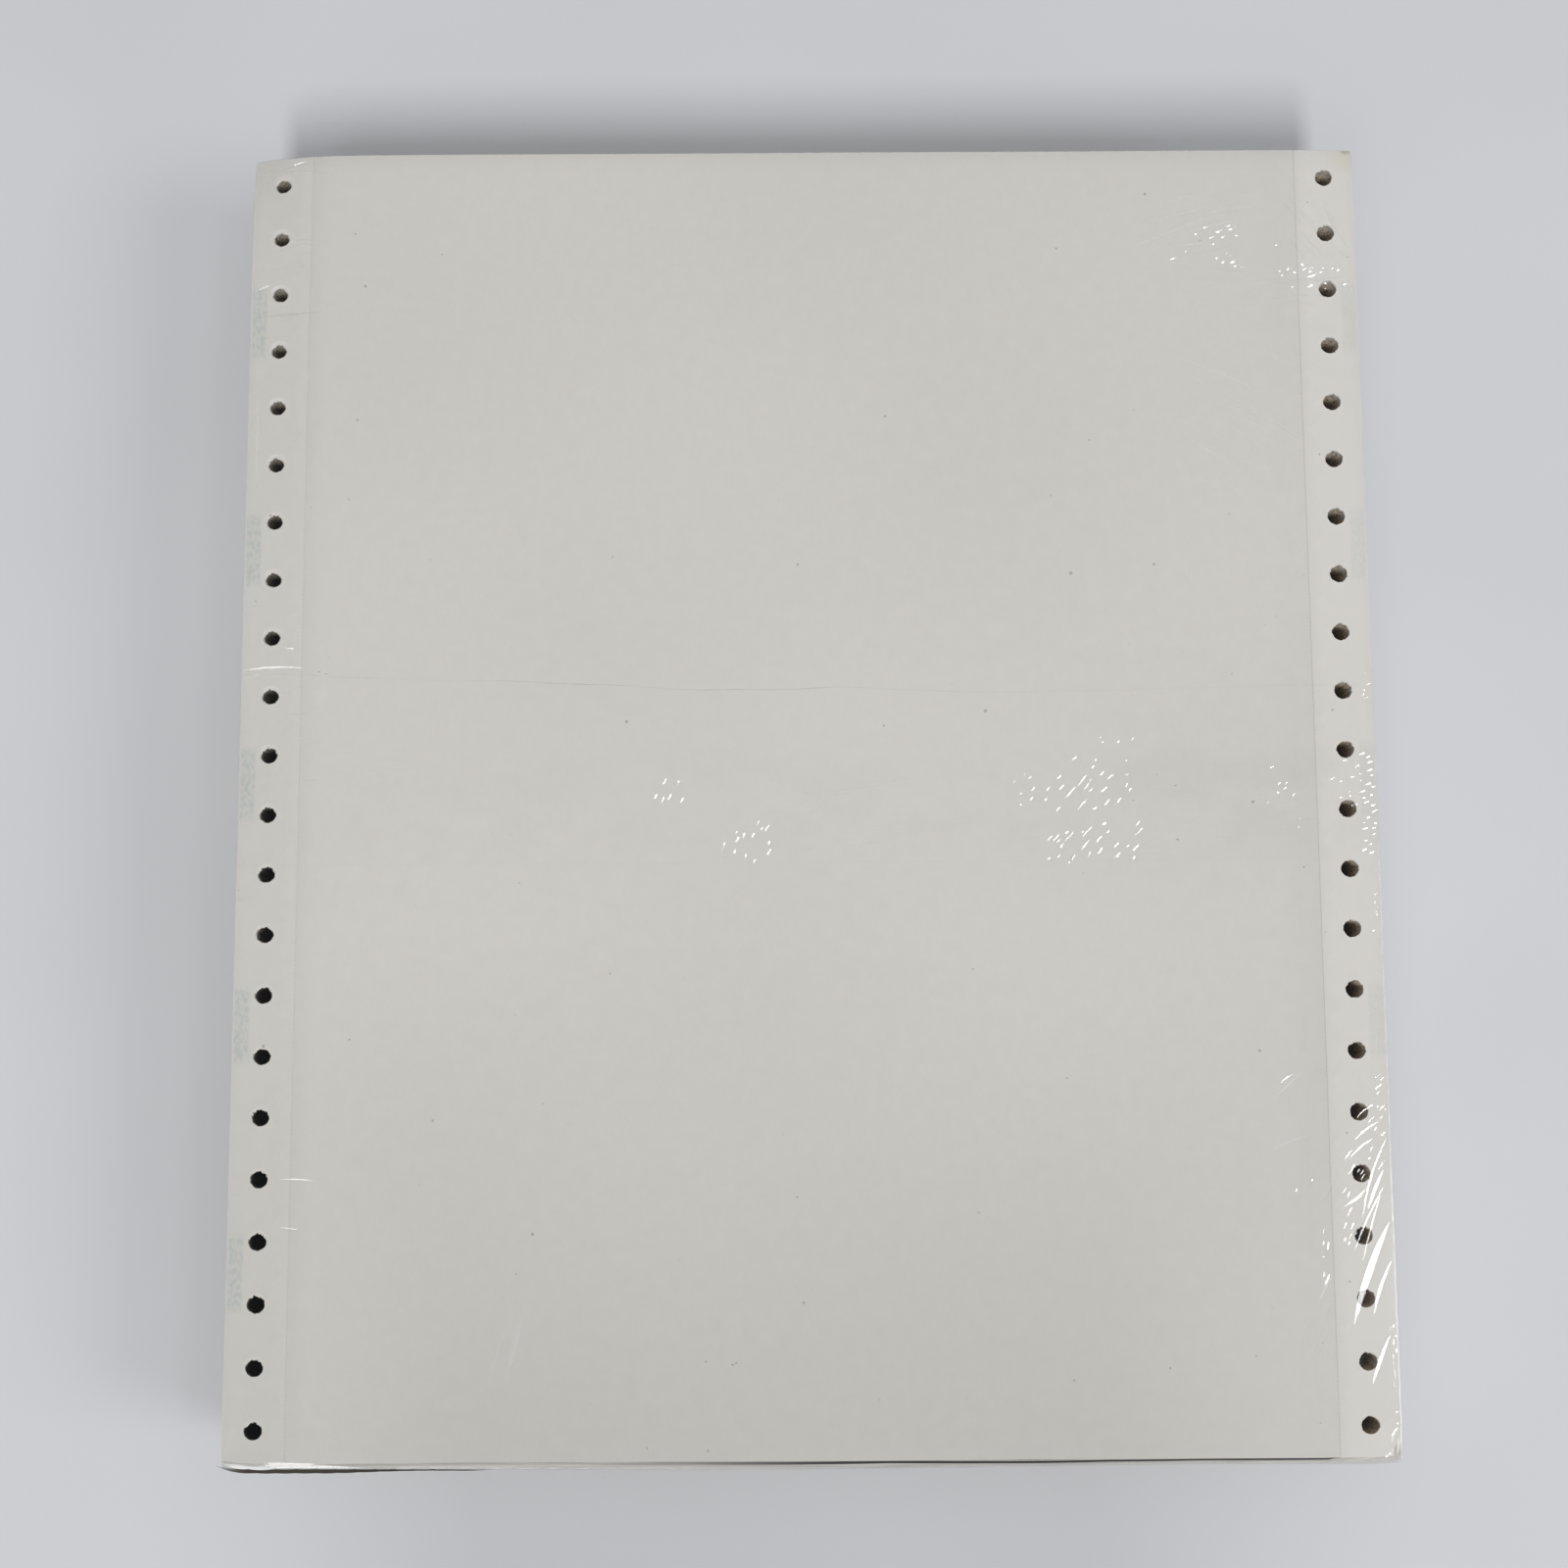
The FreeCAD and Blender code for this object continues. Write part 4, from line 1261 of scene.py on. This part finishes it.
def paper_finish(settings):
    """Uncoated paper: its grain, its perforations, marks in the margins and specks of dust, with painted
    light and shade over the strips.
    """
    finish = Finish(bpy.data.materials.new("paper"))
    x, y, _ = finish.place()
    base = settings.paper_colour
    grain = finish.noise(0.8, 2, 0.6, finish.stretch(1, 1.5, 1))
    mottle = finish.noise(3.5, 1, 0.6)
    # the stored tone holds painted light and shade over the strips, as well as the paper's own clouding
    tone = finish.stored("tone") + 0.3 * (grain - 0.5) + 0.3 * (mottle - 0.5)
    colour = finish.mix(tone, shade(base, 0.92, 0.925, 0.925), shade(base, 1.08, 1.085, 1.10))
    colour = hole_burrs(finish, colour, x, y, grain, settings)
    colour = tear_lines(finish, colour, x, y, settings)
    colour = margin_bars(finish, colour, x, y, grain)
    colour = dust(finish, colour)
    colour = stains(finish, colour, x, y, grain)
    fibres = finish.node("ShaderNodeBump", None, {
        "Height": grain, "Strength": 0.3, "Distance": 0.03 * MM})
    return finish.show(finish.matt(colour, 0.85, 0.25, Normal=fibres))


def hole_burrs(finish, colour, x, y, grain, settings):
    """A pale burr round each feed hole, on the side away from the front."""
    pitch = settings.hole_pitch
    hole_x = abs(x) - (HALF_WIDTH - settings.strip_width / 2)
    row = finish.node("ShaderNodeMath", {"operation": "WRAP"}, {0: y, 1: pitch, 2: 0.0})
    hole_y = row - pitch / 2
    far = (hole_x ** 2.0 + hole_y ** 2.0) ** 0.5
    burr = finish.band(far, settings.hole_diameter / 2, 0.1, 0.3) * finish.smooth(hole_y, -1.2, 1.6)
    return finish.mix(burr * (0.2 + grain * 0.5), colour, shade(settings.paper_colour, 1.13))


def tear_lines(finish, colour, x, y, settings):
    """The perforated tear lines: faint lines of cuts, with painted shade along them that is stronger at
    the right, where the strip bends down at the line.
    """
    cuts = finish.node("ShaderNodeMath", {"operation": "PINGPONG"}, {0: y, 1: 0.45})
    near_line = finish.band(abs(x), tear_line(settings) - 0.12, 0.02, 0.14)
    # painted shade: the line darkens more at the right
    strength = 0.06 + 0.12 * finish.smooth(x, -1, 1) + 0.22 * finish.smooth(cuts, 0.2, 0.3)
    return finish.mix(near_line * strength, colour, (0.30, 0.27, 0.23, 1))


def margin_bars(finish, colour, x, y, grain):
    """Faint printed bars in the margins, worn and mottled, weaker at the right."""
    right = finish.smooth(x, -1, 1)
    row = finish.node("ShaderNodeMath", {"operation": "PINGPONG"}, {0: y, 1: 25.4})
    bar = (1 - finish.smooth(row, 6.5, 8.8)) * finish.band(abs(x), HALF_WIDTH - 1.9, 1.2, 0.7)
    bar = bar * (1 - finish.smooth(abs(y), 110, 112))
    bar = bar * (1 - right * (0.35 + 0.65 * finish.smooth(0 - y, 80, 90)))
    worn = 0.18 + 0.6 * (1 - 0.6 * right) * finish.smooth(grain, 0.38, 0.66)
    return finish.mix(bar * worn, colour, (0.43, 0.475, 0.465, 1))


def dust(finish, colour):
    """Dark specks, one to a cell about 19 mm wide, most of them too small to see."""
    cell = finish.node("ShaderNodeTexVoronoi", {"voronoi_dimensions": "2D"},
                       {"Vector": finish.where, "Scale": 1 / 19}, "Distance")
    size = finish.node("ShaderNodeSeparateColor", None, {0: cell.output("Color")}) ** 4.0
    speck = 1 - finish.smooth(cell, 0.016 * size, 0.016 * size + 0.006)
    return finish.mix(speck * 0.5, colour, (0.2, 0.18, 0.15, 1))


def stains(finish, colour, x, y, grain):
    """Stains at the right-hand corners, yellowed round the one at the back."""
    yellowed = finish.spot(x, y, HALF_WIDTH - 0.5, HALF_LENGTH - 0.5, 5.5, 5.0)
    colour = finish.mix(yellowed * 0.3, colour, (0.58, 0.55, 0.42, 1))
    stain = finish.spot(x, y, HALF_WIDTH - 1.1, HALF_LENGTH - 0.2, 1.3, 0.7) * (0.3 + grain)
    stain = stain + 0.8 * finish.spot(x, y, HALF_WIDTH - 0.6, -HALF_LENGTH + 0.5, 1.2, 2.2)
    return finish.mix(stain * 0.6, colour, (0.30, 0.25, 0.16, 1))


def edge_finish(settings):
    """The folded and cut edges of many sheets, with painted shade in the gaps between them just under the
    top.
    """
    finish = Finish(bpy.data.materials.new("sheet_edges"))
    x, y, z = finish.place()
    base = settings.paper_colour
    streaks = finish.noise(1.0, 2, 0.7, finish.stretch(30, 30, 0.3))
    colour = finish.mix(finish.smooth(streaks, 0.3, 0.7), shade(base, 0.66), shade(base, 1.0))
    wander = finish.noise(1.0, 1, 0.5, finish.stretch(45, 45, 30))
    under = TOP - z + 0.5 * (wander - 0.5)
    # painted shade: dark lines in the gaps just under the top sheet, along the front
    painted_gap_shade = finish.band(under, 0.5, 0.27, 0.05) * finish.smooth(x, -100, -82)
    painted_gap_shade = painted_gap_shade + finish.band(under, 1.15, 0.14, 0.05) * finish.smooth(x, -50, 10)
    front = 1 - finish.smooth(y, -130, -125)
    colour = finish.mix(painted_gap_shade * 0.96 * front, colour, (0.012, 0.011, 0.013, 1))
    return finish.show(finish.matt(colour, 0.9, 0.2))


def punched_finish(settings):
    """The walls of the feed holes: pale ragged edges at the top, then painted shade that darkens them
    further down, near black at the front left.
    """
    finish = Finish(bpy.data.materials.new("punched_edges"))
    x, y, z = finish.place()
    ragged = finish.noise(0.35, 2, 0.8, finish.stretch(1, 1, 1.6))
    deep = TOP - z + (ragged - 0.5) * 6.0
    right = finish.smooth(x, -1, 1)
    back = finish.smooth(y, -HALF_LENGTH, HALF_LENGTH)

    def between(front_left, front_right, back_left, back_right):
        """A colour that changes from corner to corner of the pack."""
        return finish.mix(back, finish.mix(right, front_left, front_right),
                          finish.mix(right, back_left, back_right))

    # painted shade: darker with depth and darkest at the front left, where little light reaches the walls
    painted_shade_deep = between((0.008, 0.007, 0.006, 1), (0.58, 0.49, 0.38, 1),
                      (0.50, 0.45, 0.35, 1), (0.64, 0.55, 0.43, 1))
    middle = between((0.03, 0.027, 0.024, 1), (0.66, 0.58, 0.48, 1),
                     (0.60, 0.55, 0.46, 1), (0.68, 0.60, 0.50, 1))
    pale = between(*(shade(settings.paper_colour, factor) for factor in (0.3, 0.95, 1.0, 1.0)))
    colour = finish.mix(finish.smooth(deep, 0.3 + 1.2 * back, 2.2 + 2.2 * back), pale, middle)
    colour = finish.mix(finish.smooth(deep, 1.4 + 1.5 * back, 6.0), colour, painted_shade_deep)
    # painted shade in the gaps between the sheets' fibres
    fibres = finish.noise(0.45, 2, 0.8, finish.stretch(1, 1, 2.2, 5.0))
    painted_gap_shade = finish.smooth(fibres, 0.5, 0.66) * finish.smooth(deep, 1.0, 2.5)
    colour = finish.mix(painted_gap_shade * 0.8, colour, (0.02, 0.016, 0.012, 1))
    return finish.show(finish.matt(colour, 0.9, 0.1))


def film_finish(settings):
    """Clear glossy film: see-through face on, brighter at a glancing angle, with dirt and painted shade,
    and pale painted light.
    """
    finish = Finish(bpy.data.materials.new("clear_film"))
    facing = finish.node("ShaderNodeLayerWeight", None, {"Blend": 0.5}, "Facing")
    shine = finish.stored("shine")
    mirror = 0.08 * shine + 0.9 * facing ** 5.0 * shine.sum("MINIMUM", shine * 4.0, 1.0)
    gloss = finish.node("ShaderNodeBsdfAnisotropic", None, {
        "Color": (1, 1, 1, 1), "Roughness": settings.gloss_roughness})
    clear = finish.node("ShaderNodeBsdfTransparent", None, {0: (1, 1, 1, 1)})
    film = finish.blend(mirror, clear, gloss)
    # dark diffuse for dirt and painted shade, pale diffuse for painted light
    dirty_and_shaded = finish.blend(finish.stored("dull") * 0.7, film,
                          finish.diffuse((0.06, 0.052, 0.042, 1)))
    with_painted_light = finish.blend(finish.stored("milky"), dirty_and_shaded, finish.diffuse((0.85, 0.85, 0.85, 1)))
    return finish.show(with_painted_light)


def floor_finish(settings):
    """A plain pale floor that runs out into the backdrop where the camera sees it far away."""
    finish = Finish(bpy.data.materials.new("pale_floor"))
    x, y, _ = finish.place()
    base = settings.floor_colour
    clouds = finish.noise(90, 1, 0.55)
    colour = finish.mix(finish.smooth(clouds, 0.3, 0.7), shade(base, 0.985), shade(base, 1.015))
    far = finish.smooth((x ** 2.0 + y ** 2.0) ** 0.5, 500, 1900)
    seen = finish.node("ShaderNodeLightPath", output="Is Camera Ray")
    backdrop = finish.node("ShaderNodeEmission", None, {"Color": BACKDROP, "Strength": 1.0})
    return finish.show(finish.blend(far * seen, finish.matt(colour, 0.7, 0.2), backdrop))


def dress(item, materials, body, slot, *nodes):
    """Gives a finished piece its materials and body, and hides the CAD nodes it stands for. The slot is
    not used.
    """
    for material in materials:
        item.data.materials.append(material)
    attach(item, body)
    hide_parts(*nodes)


# ---------------------------------------------------------------- operators

class FANFOLD_OT_paper(bpy.types.Operator):
    """Fold, punch and perforate the paper"""
    bl_idname = "fanfold.paper"
    bl_label = "Paper"

    def execute(self, context):
        settings = context.scene.fanfold_paper
        paper = make_paper(settings)
        finishes = (paper_finish(settings), edge_finish(settings), punched_finish(settings))
        dress(paper, finishes, "root", "paper", "paper_stack")
        return {"FINISHED"}


class FANFOLD_OT_film(bpy.types.Operator):
    """Shrink the film round the paper"""
    bl_idname = "fanfold.film"
    bl_label = "Shrink film"

    def execute(self, context):
        settings = context.scene.fanfold_film
        paper = context.scene.fanfold_paper
        film = make_film(settings, paper)
        dress(film, (film_finish(settings),), "root", "film", "shrink_film")
        return {"FINISHED"}


class FANFOLD_OT_stage(bpy.types.Operator):
    """Set the floor, the lights and the camera"""
    bl_idname = "fanfold.stage"
    bl_label = "Stage"

    def execute(self, context):
        settings = context.scene.fanfold_stage
        make_floor(settings)
        make_lights(settings)
        make_shade_card()
        make_camera(settings)
        make_world(settings)
        return {"FINISHED"}


def make_floor(settings):
    """A round floor, ten metres across."""
    bpy.ops.object.select_all(action="DESELECT")
    bpy.ops.mesh.primitive_circle_add(vertices=96, radius=5.0, fill_type="NGON", location=(0, 0, 0))
    floor = settled(bpy.context.object)
    floor.name = "floor"
    floor.data.materials.append(floor_finish(settings))


def make_shade_card():
    """A small card, itself unseen, that takes some front light from the floor before the pack."""
    bpy.ops.object.select_all(action="DESELECT")
    bpy.ops.mesh.primitive_plane_add(size=1, location=CARD_PLACE)
    bpy.context.object.scale = CARD_SIZE
    card = settled(bpy.context.object)
    card.name = "shade_card"
    for sight in ("camera", "diffuse", "glossy", "transmission", "volume_scatter"):
        setattr(card, "visible_" + sight, False)


def add_light(name, towards, distance, share, width, length, colour=(1, 1, 1)):
    """A flat lamp that faces the pack and gives this share of the light on the floor."""
    direction = Vector(towards).normalized()
    bpy.ops.object.light_add(type="AREA", location=direction * distance)
    lamp = bpy.context.object
    lamp.name = name
    lamp.rotation_euler = direction.to_track_quat("Z", "Y").to_euler()
    lamp.data.shape = "RECTANGLE"
    lamp.data.size = width
    lamp.data.size_y = length
    lamp.data.color = colour
    lamp.data.energy = share * (math.pi * distance) ** 2 / direction.z
    return lamp


def make_lights(settings):
    """The lamps. Only the small one and the lip's are meant to glint in the creases."""
    add_light("front_light", (0.02, -0.60, 1.0), 4.0, settings.front_light, 0.36, 1.05)
    add_light("side_light", (0.95, -0.30, 1.0), 4.0, settings.side_light, 1.4, 1.4, (0.97, 0.985, 1))
    add_light("small_lamp", SMALL_LAMP, 5.0, settings.small_light, 0.36, 0.36).data.shape = "DISK"
    add_light("lip_lamp", LIP_LAMP, 4.0, settings.lip_light, 0.5, 0.9)
    above = add_light("ceiling_light", (0, 0, 1), 3.0, settings.ceiling_light, 2.6, 2.6)
    above.visible_glossy = False


def make_camera(settings):
    """The camera looks down from above the pack, a little in front of its middle."""
    turn = [math.radians(part) for part in EYE_TURN]
    bpy.ops.object.camera_add(location=Vector(EYE) * MM, rotation=turn)
    camera = bpy.context.object
    camera.data.lens = settings.lens
    camera.data.sensor_width = 36.0
    camera.data.clip_start = 0.02
    bpy.context.scene.camera = camera


def make_world(settings):
    """Plain light from all round, and a pale backdrop wherever it is seen or mirrored."""
    sky = Finish(bpy.data.worlds.new("plain_light"))
    path = sky.node("ShaderNodeLightPath", output="Is Camera Ray")
    seen = path.sum("MAXIMUM", path, path.output("Is Transmission Ray"))
    shown = sky.node("ShaderNodeBackground", None, {
        "Color": (0.98, 0.99, 1, 1), "Strength": settings.fill})
    for strength, when in ((1.0, seen), (settings.mirrored, path.output("Is Glossy Ray"))):
        backdrop = sky.node("ShaderNodeBackground", None, {"Color": BACKDROP, "Strength": strength})
        shown = sky.blend(when, shown, backdrop)
    bpy.context.scene.world = sky.show(shown, "ShaderNodeOutputWorld")


class FANFOLD_PT_panel(bpy.types.Panel):
    bl_label = "Fanfold paper"
    bl_space_type = "VIEW_3D"
    bl_region_type = "UI"
    bl_category = "Fanfold"

    def draw(self, context):
        scene = context.scene
        for operator, group in (("fanfold.paper", scene.fanfold_paper),
                                ("fanfold.film", scene.fanfold_film),
                                ("fanfold.stage", scene.fanfold_stage)):
            self.layout.operator(operator)
            for name in group.__annotations__:
                self.layout.prop(group, name)


GROUPS = (("fanfold_paper", FanfoldPaperSettings), ("fanfold_film", FanfoldFilmSettings),
          ("fanfold_stage", FanfoldStageSettings))
OTHERS = (FANFOLD_OT_paper, FANFOLD_OT_film, FANFOLD_OT_stage, FANFOLD_PT_panel)


def register():
    for name, group in GROUPS:
        bpy.utils.register_class(group)
        setattr(bpy.types.Scene, name, bpy.props.PointerProperty(type=group))
    for other in OTHERS:
        bpy.utils.register_class(other)


def unregister():
    for other in reversed(OTHERS):
        bpy.utils.unregister_class(other)
    for name, group in reversed(GROUPS):
        delattr(bpy.types.Scene, name)
        bpy.utils.unregister_class(group)


def main():
    """Builds the pack and its stage."""
    register()
    bpy.context.scene.view_settings.view_transform = "Standard"
    bpy.ops.fanfold.paper()
    bpy.ops.fanfold.film()
    bpy.ops.fanfold.stage()


if __name__ == "__main__":
    main()
